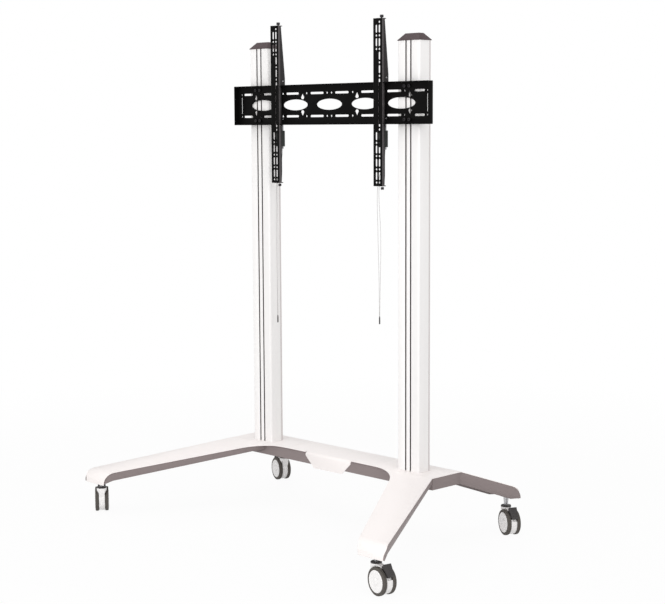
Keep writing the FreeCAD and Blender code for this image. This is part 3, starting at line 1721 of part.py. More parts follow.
def make_caster(name, side, half, y):
    """Housing, brake lever, axle, hubs and tyres of one caster."""
    turn = SIZES[f"turn_{name}"]
    x = half * side
    trail = size("wheel_trail")
    axis_height = size("wheel_radius")
    wide = size("housing_half")
    collar_top = size("collar_top")
    collar_radius = size("swivel_cap_radius")

    disc = new_cylinder((trail, wide, axis_height), size("housing_radius"), wide * 2, "front")
    neck = new_body("Neck")
    throat = new_sketch(neck, "XZ_Plane")
    draw_polygon(
        throat,
        [
            (-collar_radius, size("nape_height")),
            (-size("throat_back"), size("throat_height")),
            (trail, axis_height),
            (size("shoulder_reach"), size("shoulder_height")),
            (collar_radius, collar_top),
            (-collar_radius, collar_top),
        ],
    )
    pad(neck, throat, wide * 2, both=True)
    collar_low = collar_top - size("collar_height")
    collar = new_cylinder((ZERO, ZERO, collar_low), collar_radius, size("collar_height"))
    neck_foot = size("neck_foot_height")
    shoulders = new_cone((ZERO, ZERO, neck_foot), wide, collar_radius, collar_low - neck_foot)
    round_neck = cut(
        fuse([collar, shoulders]),
        [
            new_cylinder(
                (trail, y_back, axis_height),
                axis_height + size("wheel_clearance"),
                collar_radius,
                "front",
            )
            for y_back in (wide + collar_radius, -wide)
        ],
    )
    recess = wedge(
        size("recess_floor"),
        size("housing_radius") * 2,
        wide + OVER,
        size("recess_low_angle"),
        size("recess_high_angle"),
    )
    pivot_x, pivot_z = lever_pivot()
    socket = new_cylinder(
        (pivot_x, wide + OVER, pivot_z),
        size("lever_knuckle") + size("lever_clearance"),
        (wide + OVER) * 2,
        "front",
    )
    axle_hole = new_cylinder(
        (trail, wide + OVER, axis_height),
        size("axle_radius") + size("axle_clearance"),
        (wide + OVER) * 2,
        "front",
    )
    bore = new_cylinder(
        (ZERO, ZERO, size("bore_bottom")),
        size("stem_pin_radius") + size("bush_sheet"),
        collar_top - size("bore_bottom") + OVER,
    )
    housing = cut(fuse([disc, neck, round_neck]), [recess, socket, axle_hole, bore])
    keep(f"caster_housing_{name}", housing, x=x, y=y, turn=turn)

    lever_half = size("lever_half")
    pad_block = wedge(
        size("lever_inner"),
        size("lever_outer"),
        lever_half,
        size("lever_low_angle"),
        size("lever_high_angle"),
    )
    knuckle = new_cylinder(
        (pivot_x, lever_half, pivot_z), size("lever_knuckle"), lever_half * 2, "front"
    )
    tongue = fuse([pad_block, knuckle])
    pedal = cut(make_pedal(), [tongue])
    keep(f"brake_lever_{name}", group([tongue, pedal]), x=x, y=y, turn=turn)

    near = wide + size("wheel_gap")
    far = near + size("wheel_width")
    hubs = []
    tyres = []
    for way in (1, -1):
        hub_body = new_body("Hub")
        face = new_sketch(hub_body, "XZ_Plane", near * way)
        draw_circle(face, trail, axis_height, size("hub_radius"))
        draw_circle(face, trail, axis_height, size("axle_radius"))
        pad(hub_body, face, size("wheel_width") + size("hub_bulge"), back=way < 0)
        hub_face = far + size("hub_bulge")
        spot = {"x": trail, "y": -hub_face * way, "z": axis_height}
        bevel_rims(hub_body, size("hub_bulge"), size("hub_radius"), **spot)
        dish = new_sketch(hub_body, "XZ_Plane", hub_face * way)
        draw_circle(dish, trail, axis_height, size("hub_dish_radius"))
        draw_circle(dish, trail, axis_height, size("hub_cap_radius"))
        pocket(hub_body, dish, size("hub_dish") * 2)
        hubs.append(hub_body)
        tyre_body = new_body("Tyre")
        ring = new_sketch(tyre_body, "XZ_Plane", near * way)
        draw_circle(ring, trail, axis_height, size("wheel_radius"))
        draw_circle(ring, trail, axis_height, size("hub_radius"))
        pad(tyre_body, ring, size("wheel_width"), back=way < 0)
        spot = {"x": trail, "y": -far * way, "z": axis_height}
        bevel_rims(tyre_body, size("tyre_chamfer"), axis_height, **spot)
        tyres.append(tyre_body)
    keep(f"caster_hubs_{name}", group(hubs), x=x, y=y, turn=turn)
    keep(f"caster_tyres_{name}", group(tyres), x=x, y=y, turn=turn)
    axle = new_body("Axle")
    end = new_sketch(axle, "XZ_Plane")
    draw_circle(end, trail, axis_height, size("axle_radius"))
    pad(axle, end, far * 2, both=True)
    keep(f"caster_axle_{name}", axle, x=x, y=y, turn=turn)


make_cross_beam()
make_column_feet()
make_base_bolts()
make_front_legs()
make_rear_legs()
make_side_covers()
make_centre_cover()
make_columns()
make_rear_covers()
make_caps()
make_wall_plate()
make_column_brackets()
make_clamp_bolts()
for way, side_word in ((1, "right"), (-1, "left")):
    arm_middle = size("arm_offset") * way
    make_arm(f"arm_{side_word}", arm_middle)
    make_latch(side_word, arm_middle)
    make_arm_screws(side_word, arm_middle)
make_cords()
make_stems()
for caster_name, (side_sign, swivel_half, swivel_y) in CASTERS.items():
    make_caster(caster_name, side_sign, swivel_half, swivel_y)

doc.recompute()
for thing in doc.Objects:
    if "Invalid" in thing.State or "Error" in thing.State:
        raise RuntimeError(f"{thing.Label} failed: {thing.State}")
os.makedirs("parts", exist_ok=True)
for name, thing in pieces.items():
    if thing.Shape.isNull() or not thing.Shape.isValid():
        raise RuntimeError(f"{name} has no valid shape")
    thing.Shape.exportStep(f"parts/{name}.step")
print(len(pieces), "pieces written")
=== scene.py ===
import json
import math

import bmesh
import bpy
from mathutils import Matrix, Vector


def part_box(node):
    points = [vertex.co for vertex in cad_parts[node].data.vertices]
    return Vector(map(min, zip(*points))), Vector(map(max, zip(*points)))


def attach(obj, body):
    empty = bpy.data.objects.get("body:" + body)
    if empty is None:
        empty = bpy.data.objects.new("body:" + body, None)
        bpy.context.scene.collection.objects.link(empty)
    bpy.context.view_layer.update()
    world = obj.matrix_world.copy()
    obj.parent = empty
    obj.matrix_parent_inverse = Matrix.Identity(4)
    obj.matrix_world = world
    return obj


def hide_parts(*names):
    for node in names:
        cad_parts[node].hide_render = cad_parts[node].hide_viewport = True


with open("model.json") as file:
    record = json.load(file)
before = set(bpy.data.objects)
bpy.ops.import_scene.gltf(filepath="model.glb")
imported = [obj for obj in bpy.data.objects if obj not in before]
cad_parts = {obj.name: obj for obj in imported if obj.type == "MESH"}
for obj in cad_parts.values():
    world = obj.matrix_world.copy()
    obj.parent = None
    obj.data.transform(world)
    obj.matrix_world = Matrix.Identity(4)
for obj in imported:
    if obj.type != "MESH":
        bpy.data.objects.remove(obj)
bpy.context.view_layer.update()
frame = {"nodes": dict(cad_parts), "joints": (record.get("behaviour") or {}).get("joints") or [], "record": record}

nodes = frame["nodes"]
joints = {joint["name"]: joint for joint in frame["joints"]}
slot_of = {part["node"]: part["material_slot"] for part in frame["record"]["subparts"]}
body_of = {
    node: body for body, group in frame["record"]["behaviour"]["bodies"].items() for node in group
}

MM = 0.001
UP = Vector((0, 0, 1))
ORIGIN = Vector((0, 0, 0))
SIDES = {"right": 1, "left": -1}
CASTERS = ("front_right", "front_left", "rear_right", "rear_left")

# The camera of the photograph, in metres and degrees

CAMERA_PLACE = Vector((4.1071, -4.0665, 1.5764))
CAMERA_TURN = math.radians(44.43)
CAMERA_DIP = math.radians(6.73)
CAMERA_ROLL = math.radians(-0.29)
CAMERA_LENS = 80.44
SENSOR_WIDTH = 36.0
CAMERA_FAR = 100


def set_camera():
    ahead = Vector(
        (
            -math.sin(CAMERA_TURN) * math.cos(CAMERA_DIP),
            math.cos(CAMERA_TURN) * math.cos(CAMERA_DIP),
            -math.sin(CAMERA_DIP),
        )
    )
    level = Vector((math.cos(CAMERA_TURN), math.sin(CAMERA_TURN), 0))
    over = level.cross(ahead)
    right = level * math.cos(CAMERA_ROLL) + over * math.sin(CAMERA_ROLL)
    top = over * math.cos(CAMERA_ROLL) - level * math.sin(CAMERA_ROLL)
    lens = bpy.data.cameras.new("camera")
    lens.lens = CAMERA_LENS
    lens.sensor_width = SENSOR_WIDTH
    lens.clip_end = CAMERA_FAR
    camera = bpy.data.objects.new("camera", lens)
    bpy.context.scene.collection.objects.link(camera)
    turn = Matrix((right, top, -ahead)).transposed().to_4x4()
    camera.matrix_world = Matrix.Translation(CAMERA_PLACE) @ turn
    bpy.context.scene.camera = camera


# Shader trees


def paint(red, green, blue):
    """A colour from the levels, 0 to 255, that a picture of it shows."""
    levels = (red / 255, green / 255, blue / 255)
    linear = [v / 12.92 if v <= 0.04045 else ((v + 0.055) / 1.055) ** 2.4 for v in levels]
    return (*linear, 1.0)


def add(tree, kind, inputs=None, **settings):
    """A new node, with its settings and its inputs given as values or as other nodes' outputs."""
    node = tree.nodes.new(kind)
    for name, value in settings.items():
        setattr(node, name, value)
    for name, value in (inputs or {}).items():
        if isinstance(value, bpy.types.NodeSocket):
            tree.links.new(value, node.inputs[name])
        else:
            node.inputs[name].default_value = value
    return node


def new_finish(name, colour, roughness, metallic=0.0, gloss=None):
    """A material with a plain shader, ready for its pattern."""
    material = bpy.data.materials.new(name)
    material.use_nodes = True
    shader = material.node_tree.nodes["Principled BSDF"]
    shader.inputs["Base Color"].default_value = colour
    shader.inputs["Roughness"].default_value = roughness
    shader.inputs["Metallic"].default_value = metallic
    for socket, value in (gloss or {}).items():
        shader.inputs[socket].default_value = value
    material.diffuse_color = colour
    return material, material.node_tree, shader


def place_on(tree, scale=(1, 1, 1), centre=(0, 0, 0)):
    """Object coordinates, measured from a centre and stretched along the axes."""
    place = add(tree, "ShaderNodeTexCoord").outputs["Object"]
    moved = add(tree, "ShaderNodeVectorMath", {0: place, 1: centre}, operation="SUBTRACT")
    return add(
        tree, "ShaderNodeVectorMath", {0: moved.outputs[0], 1: scale}, operation="MULTIPLY"
    ).outputs[0]


def noise(tree, place, scale, detail=2.0, rough=0.5):
    """A cloudy pattern round a half, with that many clouds to a metre."""
    inputs = {"Vector": place, "Scale": scale, "Detail": detail, "Roughness": rough}
    return add(tree, "ShaderNodeTexNoise", inputs).outputs["Fac"]


def spread(tree, value, low, high, start=0.3, end=0.7):
    """Turns a pattern that lies round a half into a value from low to high."""
    inputs = {"Value": value, "From Min": start, "From Max": end, "To Min": low, "To Max": high}
    return add(tree, "ShaderNodeMapRange", inputs).outputs["Result"]


def tinted(tree, colour, value):
    """A colour made darker or lighter by a value round 1."""
    inputs = {"Hue": 0.5, "Saturation": 1.0, "Value": value, "Fac": 1.0, "Color": colour}
    return add(tree, "ShaderNodeHueSaturation", inputs).outputs["Color"]


def times(tree, first, second):
    return add(tree, "ShaderNodeMath", {0: first, 1: second}, operation="MULTIPLY").outputs[0]


def plus(tree, first, second):
    return add(tree, "ShaderNodeMath", {0: first, 1: second}, operation="ADD").outputs[0]


def raised(tree, shader, height, depth):
    """Gives the surface a relief of that depth in metres."""
    inputs = {"Height": height, "Distance": depth, "Strength": 1.0}
    bump = add(tree, "ShaderNodeBump", inputs)
    tree.links.new(bump.outputs["Normal"], shader.inputs["Normal"])


def coloured(tree, shader, colour, tone, pattern, smooth, rough):
    """Gives the shader its colour by a tone, and a roughness that follows a pattern."""
    tree.links.new(tinted(tree, colour, tone), shader.inputs["Base Color"])
    tree.links.new(spread(tree, pattern, smooth, rough), shader.inputs["Roughness"])


# How much the dark finishes shine, from the dullest up, and the nylon's clear skin

PAINT_SHINE = {"Specular IOR Level": 0.05}
FLANGE_SHINE = {"Specular IOR Level": 0.15}
LATCH_SHINE = {"Specular IOR Level": 0.2}
CAP_SHINE = {"Specular IOR Level": 0.25}
CASTER_SHINE = {"Specular IOR Level": 0.3}
CLEAR_SKIN = {"Coat Weight": 0.25}


# Finishes, each with the grain of the real one in metres


def powder_coat(name, colour, roughness, peel=1.6 * MM, depth=0.03 * MM, fleck=0.02, gloss=None):
    """Baked powder paint: an orange peel, finer flecks and a broad unevenness of tone."""
    material, tree, shader = new_finish(name, colour, roughness, 0.0, gloss)
    place = place_on(tree)
    skin = noise(tree, place, 1 / peel, detail=3.0, rough=0.45)
    grit = noise(tree, place, 5 / peel, detail=1.0)
    cloud = noise(tree, place, 4.0)
    flecks = spread(tree, grit, 1 - fleck, 1 + fleck)
    uneven = spread(tree, cloud, 1 - fleck * 0.7, 1 + fleck * 0.4)
    tone = times(tree, flecks, uneven)
    coloured(tree, shader, colour, tone, skin, roughness - 0.06, roughness + 0.06)
    raised(tree, shader, plus(tree, skin, times(tree, grit, 0.25)), depth)
    return material


# Painted highlight on the arms' flanges: full up to this far behind the arm's front, faded by this far, and the
# darker tone past it
HIGHLIGHT_FULL_DEPTH = 5 * MM
HIGHLIGHT_FADED_DEPTH = 11 * MM
PAST_HIGHLIGHT_TONE = 0.28


def highlit_flange_coat(name, colour, roughness):
    """Black powder paint with a painted highlight along the bend at the front of an arm's flange, fading to a
    darker tone further back.
    """
    material, tree, shader = new_finish(name, colour, roughness, 0.0, FLANGE_SHINE)
    place = place_on(tree)
    back = add(tree, "ShaderNodeSeparateXYZ", {"Vector": place}).outputs["Y"]
    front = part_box("arm_right")[0].y
    grit = noise(tree, place, 900, detail=3.0)
    highlight_share = spread(
        tree, back, 1.0, PAST_HIGHLIGHT_TONE, start=front + HIGHLIGHT_FULL_DEPTH, end=front + HIGHLIGHT_FADED_DEPTH
    )
    tone = times(tree, highlight_share, spread(tree, grit, 0.85, 1.12))
    coloured(tree, shader, colour, tone, grit, roughness - 0.06, roughness + 0.08)
    raised(tree, shader, grit, 0.03 * MM)
    return material


def extruded_coat(name, colour, roughness):
    """Painted extrusion: faint die lines that run the length of the column under the paint."""
    material, tree, shader = new_finish(name, colour, roughness)
    skin = noise(tree, place_on(tree), 700)
    lines = noise(tree, place_on(tree, scale=(900, 900, 1.5)), 1.0, detail=3.0)
    bands = noise(tree, place_on(tree, scale=(26, 26, 0.35)), 1.0)
    tone = times(tree, spread(tree, lines, 0.985, 1.01), spread(tree, bands, 0.975, 1.01))
    coloured(tree, shader, colour, tone, lines, roughness - 0.05, roughness + 0.07)
    raised(tree, shader, plus(tree, times(tree, skin, 0.6), lines), 0.018 * MM)
    return material


def moulded(name, colour, roughness, grain=0.8 * MM, depth=0.05 * MM, fleck=0.06, gloss=None):
    """Moulded plastic with a fine spark-eroded grain, and scuffs that are a little lighter."""
    material, tree, shader = new_finish(name, colour, roughness, 0.0, gloss)
    place = place_on(tree)
    cells = {"Vector": place, "Scale": 1 / grain, "Randomness": 1.0}
    relief = add(tree, "ShaderNodeTexVoronoi", cells).outputs["Distance"]
    flow = noise(tree, place, 30, detail=3.0)
    scuff = noise(tree, place, 160, detail=4.0, rough=0.7)
    marks = spread(tree, scuff, 1.0, 1 + fleck * 2, start=0.55, end=0.75)
    tone = times(tree, spread(tree, flow, 1 - fleck, 1 + fleck), marks)
    coloured(tree, shader, colour, tone, scuff, roughness - 0.07, roughness + 0.08)
    raised(tree, shader, relief, depth)
    return material


def bright_metal(name, colour, roughness, brushed=(1, 1, 1)):
    """Zinc plate or black oxide: crystals that differ in brightness, with fine scratches."""
    material, tree, shader = new_finish(name, colour, roughness, metallic=1.0)
    cells = {"Vector": place_on(tree), "Scale": 260}
    crystals = add(tree, "ShaderNodeTexVoronoi", cells).outputs["Color"]
    grey = add(tree, "ShaderNodeRGBToBW", {"Color": crystals}).outputs["Val"]
    fine = tuple(900 * share for share in brushed)
    scratch = noise(tree, place_on(tree, scale=fine), 1.0, detail=3.0)
    tone = spread(tree, grey, 0.86, 1.1, start=0.0, end=1.0)
    coloured(tree, shader, colour, tone, scratch, roughness - 0.1, roughness + 0.12)
    raised(tree, shader, scratch, 0.01 * MM)
    return material


def tyre_rubber(name, colour, centre, inner, outer):
    """Soft tread, scuffed lighter and dustier the further it is from its axle."""
    material, tree, shader = new_finish(name, colour, 0.62, 0.0, CASTER_SHINE)
    out = place_on(tree, centre=centre)
    reach = add(tree, "ShaderNodeVectorMath", {0: out}, operation="LENGTH").outputs["Value"]
    worn = spread(tree, reach, 0.85, 1.25, start=inner, end=outer)
    dust = noise(tree, out, 140, detail=5.0, rough=0.65)
    fine = noise(tree, out, 1500)
    tone = times(tree, worn, spread(tree, dust, 0.85, 1.2))
    coloured(tree, shader, colour, tone, dust, 0.52, 0.78)
    raised(tree, shader, plus(tree, fine, dust), 0.06 * MM)
    return material


STRANDS_AROUND = 6


def braided(name, colour, turns):
    """Cord yarn: two sets of strands that cross, drawn on the cord's own lengthwise map."""
    material, tree, shader = new_finish(name, colour, 0.75)
    lengthwise = add(tree, "ShaderNodeUVMap", uv_map="along").outputs["UV"]
    parts = add(tree, "ShaderNodeSeparateXYZ", {"Vector": lengthwise}).outputs
    runs = []
    for way in (1, -1):
        around_it = times(tree, parts["X"], STRANDS_AROUND * way)
        slant = plus(tree, around_it, times(tree, parts["Y"], turns))
        wave = add(tree, "ShaderNodeMath", {0: times(tree, slant, math.tau)}, operation="SINE")
        runs.append(wave.outputs[0])
    weave = add(tree, "ShaderNodeMath", {0: runs[0], 1: runs[1]}, operation="MAXIMUM").outputs[0]
    fuzz = noise(tree, place_on(tree), 2500, detail=3.0)
    shade = spread(tree, weave, 0.72, 1.08, start=-1, end=1)
    tone = times(tree, shade, spread(tree, fuzz, 0.9, 1.1))
    tree.links.new(tinted(tree, colour, tone), shader.inputs["Base Color"])
    raised(tree, shader, weave, 0.12 * MM)
    return material


finish = {
    "white_cover": powder_coat("white powder coat", paint(247, 241, 239), 0.42),
    "white_column": extruded_coat("white column coat", paint(246, 244, 243), 0.38),
    # painted shade: dark mauve grey for the insides of the T-slots and the rear covers' seam faces, standing in
    # for the shade there
    "painted_shade": extruded_coat("painted slot shade", paint(84, 74, 74), 0.6),
    "rear_cover": extruded_coat("rear cover coat", paint(212, 206, 205), 0.45),
    "grey_frame": powder_coat("mauve grey powder coat", paint(134, 122, 121), 0.5, fleck=0.035),
    "grey_cap": moulded("cap plastic", paint(78, 66, 68), 0.6, gloss=CAP_SHINE),
    "steel": bright_metal("zinc plate", paint(190, 190, 192), 0.38),
    "bush_plastic": moulded("bush plastic", paint(222, 220, 212), 0.45),
    "dark_plastic": moulded("dark caster plastic", paint(60, 57, 57), 0.5, gloss=CASTER_SHINE),
    "black_paint": powder_coat(
        "black powder coat", paint(11, 10, 10), 0.5, peel=1.2 * MM, fleck=0.25, gloss=PAINT_SHINE
    ),
    # painted highlight: a lighter black for the arms' flanges, brightest along the front bend
    "flange_painted_highlight": highlit_flange_coat("black coat with painted highlight", paint(92, 88, 89), 0.45),
    "black_screw": bright_metal("black oxide", paint(62, 60, 62), 0.42),
    "latch_plastic": moulded("latch plastic", paint(40, 43, 41), 0.5, gloss=LATCH_SHINE),
    "latch_steel": bright_metal("latch zinc", paint(170, 170, 172), 0.4, brushed=(1, 1, 0.02)),
    "cord": braided("cord yarn", paint(196, 193, 192), 260),
    "cord_tip": moulded("cord tip plastic", paint(40, 38, 38), 0.45),
    "caster_white": moulded(
        "white nylon", paint(242, 240, 239), 0.3, grain=1.6 * MM, depth=0.015 * MM, fleck=0.015,
        gloss=CLEAR_SKIN,
    ),
}


# Meshes

WELD = 0.002 * MM
FLAT = math.radians(0.2)
EDGE_BEND = math.radians(32)
POLE = 1e-6


def new_piece(name, mesh, slot, body, *replaced):
    """A finished mesh as a piece that rides on its body and stands for CAD nodes."""
    piece = bpy.data.objects.new(name, mesh)
    bpy.context.scene.collection.objects.link(piece)
    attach(piece, body)
    if replaced:
        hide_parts(*replaced)
    return piece


def give(mesh, material):
    mesh.materials.clear()
    mesh.materials.append(material)
    return mesh


def merged_mesh(name, node):
    """A copy of a CAD node's mesh with its triangles joined into whole faces."""
    shape = bmesh.new()
    shape.from_mesh(nodes[node].data)
    bmesh.ops.remove_doubles(shape, verts=shape.verts, dist=WELD)
    bmesh.ops.dissolve_limit(
        shape,
        angle_limit=FLAT,
        verts=shape.verts,
        edges=shape.edges,
        use_dissolve_boundaries=False,
    )
    mesh = bpy.data.meshes.new(name)
    shape.to_mesh(mesh)
    shape.free()
    return mesh


def soften(piece, edge):
    """Rounds the piece's edges by a small radius, as bent sheet, paint and moulds do."""
    for face in piece.data.polygons:
        face.use_smooth = True
    bevel = piece.modifiers.new("edges", "BEVEL")
    bevel.width = edge
    bevel.segments = 2
    bevel.limit_method = "ANGLE"
    bevel.angle_limit = EDGE_BEND
    bevel.use_clamp_overlap = True
    bevel.harden_normals = True
    return piece


def dressed(node, edge, look=None):
    """A CAD node's shape with softened edges and its finish, its slot's own or another."""
    slot = slot_of[node]
    mesh = give(merged_mesh(node + "_skin", node), finish[look or slot])
    return soften(new_piece(node + "_skin", mesh, slot, body_of[node], node), edge)


def coated(node):
    """A CAD node that is good as it is, and gets its finish."""
    give(nodes[node].data, finish[slot_of[node]])


def turned(profile, centre, axis, steps=96):
    """A lathe-made shape: points of radius and height along the axis, closed at both ends."""
    axis = Vector(axis).normalized()
    across = axis.cross(UP if abs(axis.z) < 0.9 else Vector((1, 0, 0))).normalized()
    third = axis.cross(across)
    shape = bmesh.new()
    rings = []
    for radius, height in profile:
        middle = Vector(centre) + axis * height
        if radius < POLE:
            rings.append([shape.verts.new(middle)])
            continue
        ring = []
        for step in range(steps):
            angle = math.tau * step / steps
            out = across * math.cos(angle) + third * math.sin(angle)
            ring.append(shape.verts.new(middle + out * radius))
        rings.append(ring)
    for first, second in zip(rings, rings[1:]):
        for step in range(steps):
            after = (step + 1) % steps
            corners = [first[step % len(first)], first[after % len(first)]]
            corners += [second[after % len(second)], second[step % len(second)]]
            unique = list(dict.fromkeys(corners))
            if len(unique) > 2:
                shape.faces.new(unique)
    for face in shape.faces:
        face.smooth = True
    bmesh.ops.remove_doubles(shape, verts=shape.verts, dist=WELD / 2)
    bmesh.ops.recalc_face_normals(shape, faces=shape.faces)
    return shape


def joined(name, shapes, material, crease=40):
    """Several bmesh shapes as one mesh, creased where they bend by more than that many degrees."""
    whole = bmesh.new()
    for shape in shapes:
        part = bpy.data.meshes.new("part")
        shape.to_mesh(part)
        shape.free()
        whole.from_mesh(part)
        bpy.data.meshes.remove(part)
    for edge in whole.edges:
        if len(edge.link_faces) == 2 and edge.calc_face_angle() > math.radians(crease):
            edge.smooth = False
    mesh = bpy.data.meshes.new(name)
    whole.to_mesh(mesh)
    whole.free()
    return give(mesh, material)


MOST_OF_HALF = 0.45


def rounded(corners, radius=0.6 * MM, steps=3):
    """A lathe profile with its inner corners rounded."""
    line = [Vector(point) for point in corners]
    out = [line[0]]
    for before, corner, after in zip(line, line[1:], line[2:]):
        first = (before - corner).length
        second = (after - corner).length
        bite = min(radius, first * MOST_OF_HALF, second * MOST_OF_HALF)
        start = corner + (before - corner) * (bite / first)
        end = corner + (after - corner) * (bite / second)
        for step in range(steps + 1):
            share = step / steps
            a = start.lerp(corner, share)
            b = corner.lerp(end, share)
            out.append(a.lerp(b, share))
    out.append(line[-1])
    return [tuple(point) for point in out]


# What repeats: one shape set at each place by geometry nodes


def repeat_tree(shape, material):
    """A tree that sets the shape at each point, turned by the point's own value."""
    tree = bpy.data.node_groups.new("repeat", "GeometryNodeTree")
    face = tree.interface
    face.new_socket("Places", in_out="INPUT", socket_type="NodeSocketGeometry")
    shape_in = face.new_socket("Shape", in_out="INPUT", socket_type="NodeSocketObject")
    size_in = face.new_socket("Size", in_out="INPUT", socket_type="NodeSocketFloat")
    finish_in = face.new_socket("Finish", in_out="INPUT", socket_type="NodeSocketMaterial")
    face.new_socket("Result", in_out="OUTPUT", socket_type="NodeSocketGeometry")
    given = add(tree, "NodeGroupInput").outputs
    info = add(tree, "GeometryNodeObjectInfo", {"Object": given["Shape"]})
    turn = add(tree, "GeometryNodeInputNamedAttribute", {"Name": "turn"}, data_type="FLOAT_VECTOR")
    spun = add(tree, "FunctionNodeEulerToRotation", {"Euler": turn.outputs["Attribute"]})
    inputs = {
        "Points": given["Places"],
        "Instance": info.outputs["Geometry"],
        "Rotation": spun.outputs["Rotation"],
        "Scale": given["Size"],
    }
    copies = add(tree, "GeometryNodeInstanceOnPoints", inputs)
    real = add(tree, "GeometryNodeRealizeInstances", {"Geometry": copies.outputs["Instances"]})
    coat = {"Geometry": real.outputs["Geometry"], "Material": given["Finish"]}
    coated_shape = add(tree, "GeometryNodeSetMaterial", coat)
    end = add(tree, "NodeGroupOutput")
    tree.links.new(coated_shape.outputs["Geometry"], end.inputs["Result"])
    values = {shape_in.identifier: shape, size_in.identifier: 1.0, finish_in.identifier: material}
    return tree, values


def repeated(name, shape, places, material):
    """One mesh of a shape set at several places, each a point and the way that it faces."""
    template = bpy.data.objects.new(name + "_one", joined(name + "_one", [shape], material))
    bpy.context.scene.collection.objects.link(template)
    mesh = bpy.data.meshes.new(name + "_places")
    mesh.from_pydata([tuple(place) for place, facing in places], [], [])
    turns = mesh.attributes.new("turn", "FLOAT_VECTOR", "POINT")
    for number, (place, facing) in enumerate(places):
        turn = Vector(facing).to_track_quat("Z", "Y").to_euler()
        turns.data[number].vector = tuple(turn)
    holder = bpy.data.objects.new(name, mesh)
    bpy.context.scene.collection.objects.link(holder)
    tree, values = repeat_tree(template, material)
    modifier = holder.modifiers.new("repeat", "NODES")
    modifier.node_group = tree
    for identifier, value in values.items():
        modifier[identifier] = value
    bpy.context.view_layer.update()
    ready = holder.evaluated_get(bpy.context.evaluated_depsgraph_get())
    result = bpy.data.meshes.new_from_object(ready)
    result.name = name
    for left in (holder, template):
        bpy.data.objects.remove(left)
    return result


# Cords, by the route points of the part's source, in metres from each arm's middle plane

ARM_PLACE = 0.2814
COLUMN_PLANE = 0.150
CORD_DIAMETER = 1.8 * MM
CORD_ROUTES = {
    "right_a": [
        (0.006, -0.034, 1.489), (0.0035, -0.036, 1.445), (-0.009, -0.0455, 1.393),
        (-0.017, -0.050, 1.340), (-0.0174, -0.0504, 1.281), (-0.0155, -0.050, 1.222),
        (-0.0122, -0.0503, 1.108), (-0.0087, -0.050, 1.009), (-0.0074, -0.0502, 0.930),
        (-0.007, -0.050, 0.852),
    ],
    "right_b": [
        (0.0095, -0.034, 1.489), (0.0085, -0.036, 1.445), (0.0005, -0.045, 1.393),
        (-0.0108, -0.050, 1.340), (-0.0052, -0.0504, 1.260), (0.0005, -0.050, 1.176),
        (0.0012, -0.0503, 1.095), (-0.0008, -0.050, 1.025), (-0.0032, -0.0502, 0.940),
        (-0.0048, -0.050, 0.852),
    ],
    "left_a": [
        (0.006, -0.034, 1.489), (0.0045, -0.036, 1.445), (-0.0035, -0.0455, 1.393),
        (-0.0115, -0.050, 1.340), (-0.0134, -0.0503, 1.255), (-0.0144, -0.050, 1.155),
        (-0.0142, -0.0503, 1.055), (-0.013, -0.050, 0.970), (-0.012, -0.0502, 0.890),
        (-0.0117, -0.050, 0.809),
    ],
    "left_b": [
        (0.0095, -0.034, 1.489), (0.0085, -0.036, 1.445), (0.0025, -0.045, 1.393),
        (-0.009, -0.050, 1.340), (-0.007, -0.0504, 1.260), (-0.0056, -0.050, 1.170),
        (-0.006, -0.0503, 1.075), (-0.0075, -0.050, 0.985), (-0.0089, -0.0502, 0.898),
        (-0.0095, -0.050, 0.809),
    ],
}
TIP_RADIUS = 2.6 * MM
TIP_LENGTH = 30 * MM
PLY_COUNT = 3
PLY_PITCH = 7 * MM
PLY_DEPTH = 0.07


def cord_line(name, route, side):
    """The points that a NURBS spline with the route's points gives, in the row frame."""
    curve = bpy.data.curves.new(name + "_line", "CURVE")
    curve.dimensions = "3D"
    curve.resolution_u = 24
    spline = curve.splines.new("NURBS")
    spline.points.add(len(route) - 1)
    for point, (x, y, z) in zip(spline.points, route):
        point.co = (x + ARM_PLACE * side, y + COLUMN_PLANE, z, 1)
    spline.order_u = 3
    spline.use_endpoint_u = True
    holder = bpy.data.objects.new(name + "_line", curve)
    bpy.context.scene.collection.objects.link(holder)
    bpy.context.view_layer.update()
    ready = holder.evaluated_get(bpy.context.evaluated_depsgraph_get())
    mesh = bpy.data.meshes.new_from_object(ready)
    points = [vertex.co.copy() for vertex in mesh.vertices]
    bpy.data.meshes.remove(mesh)
    bpy.data.objects.remove(holder)
    return points


def laid_cord(name, points, diameter, material, steps=12):
    """A laid cord along a line: three plies that twist round each other, with a lengthwise map."""
    shape = bmesh.new()
    along_map = shape.loops.layers.uv.new("along")
    rings = []
    shares = []
    run = 0.0
    total = sum((b - a).length for a, b in zip(points, points[1:]))
    side = Vector((1, 0, 0))
    last = len(points) - 1
    for number, point in enumerate(points):
        if number:
            run += (point - points[number - 1]).length
        ahead = (points[min(number + 1, last)] - points[max(number - 1, 0)]).normalized()
        side = (side - ahead * side.dot(ahead)).normalized()
        other = ahead.cross(side)
        ring = []
        for step in range(steps):
            angle = math.tau * step / steps
            ply = math.cos(PLY_COUNT * (angle + math.tau * run / (PLY_PITCH * PLY_COUNT)))
            radius = diameter / 2 * (1 - PLY_DEPTH + PLY_DEPTH * ply)
            out = side * math.cos(angle) + other * math.sin(angle)
            ring.append(shape.verts.new(point + out * radius))
        rings.append(ring)
        shares.append(run / total)
    for number in range(last):
        for step in range(steps):
            after = (step + 1) % steps
            near, far = rings[number], rings[number + 1]
            face = shape.faces.new((near[step], near[after], far[after], far[step]))
            face.smooth = True
            turns = (step, step + 1, step + 1, step)
            places = (number, number, number + 1, number + 1)
            for loop, turn, place in zip(face.loops, turns, places):
                loop[along_map].uv = (turn / steps, shares[place])
    shape.faces.new(reversed(rings[0]))
    shape.faces.new(rings[-1])
    bmesh.ops.recalc_face_normals(shape, faces=shape.faces)
    mesh = bpy.data.meshes.new(name)
    shape.to_mesh(mesh)
    shape.free()
    return give(mesh, material)


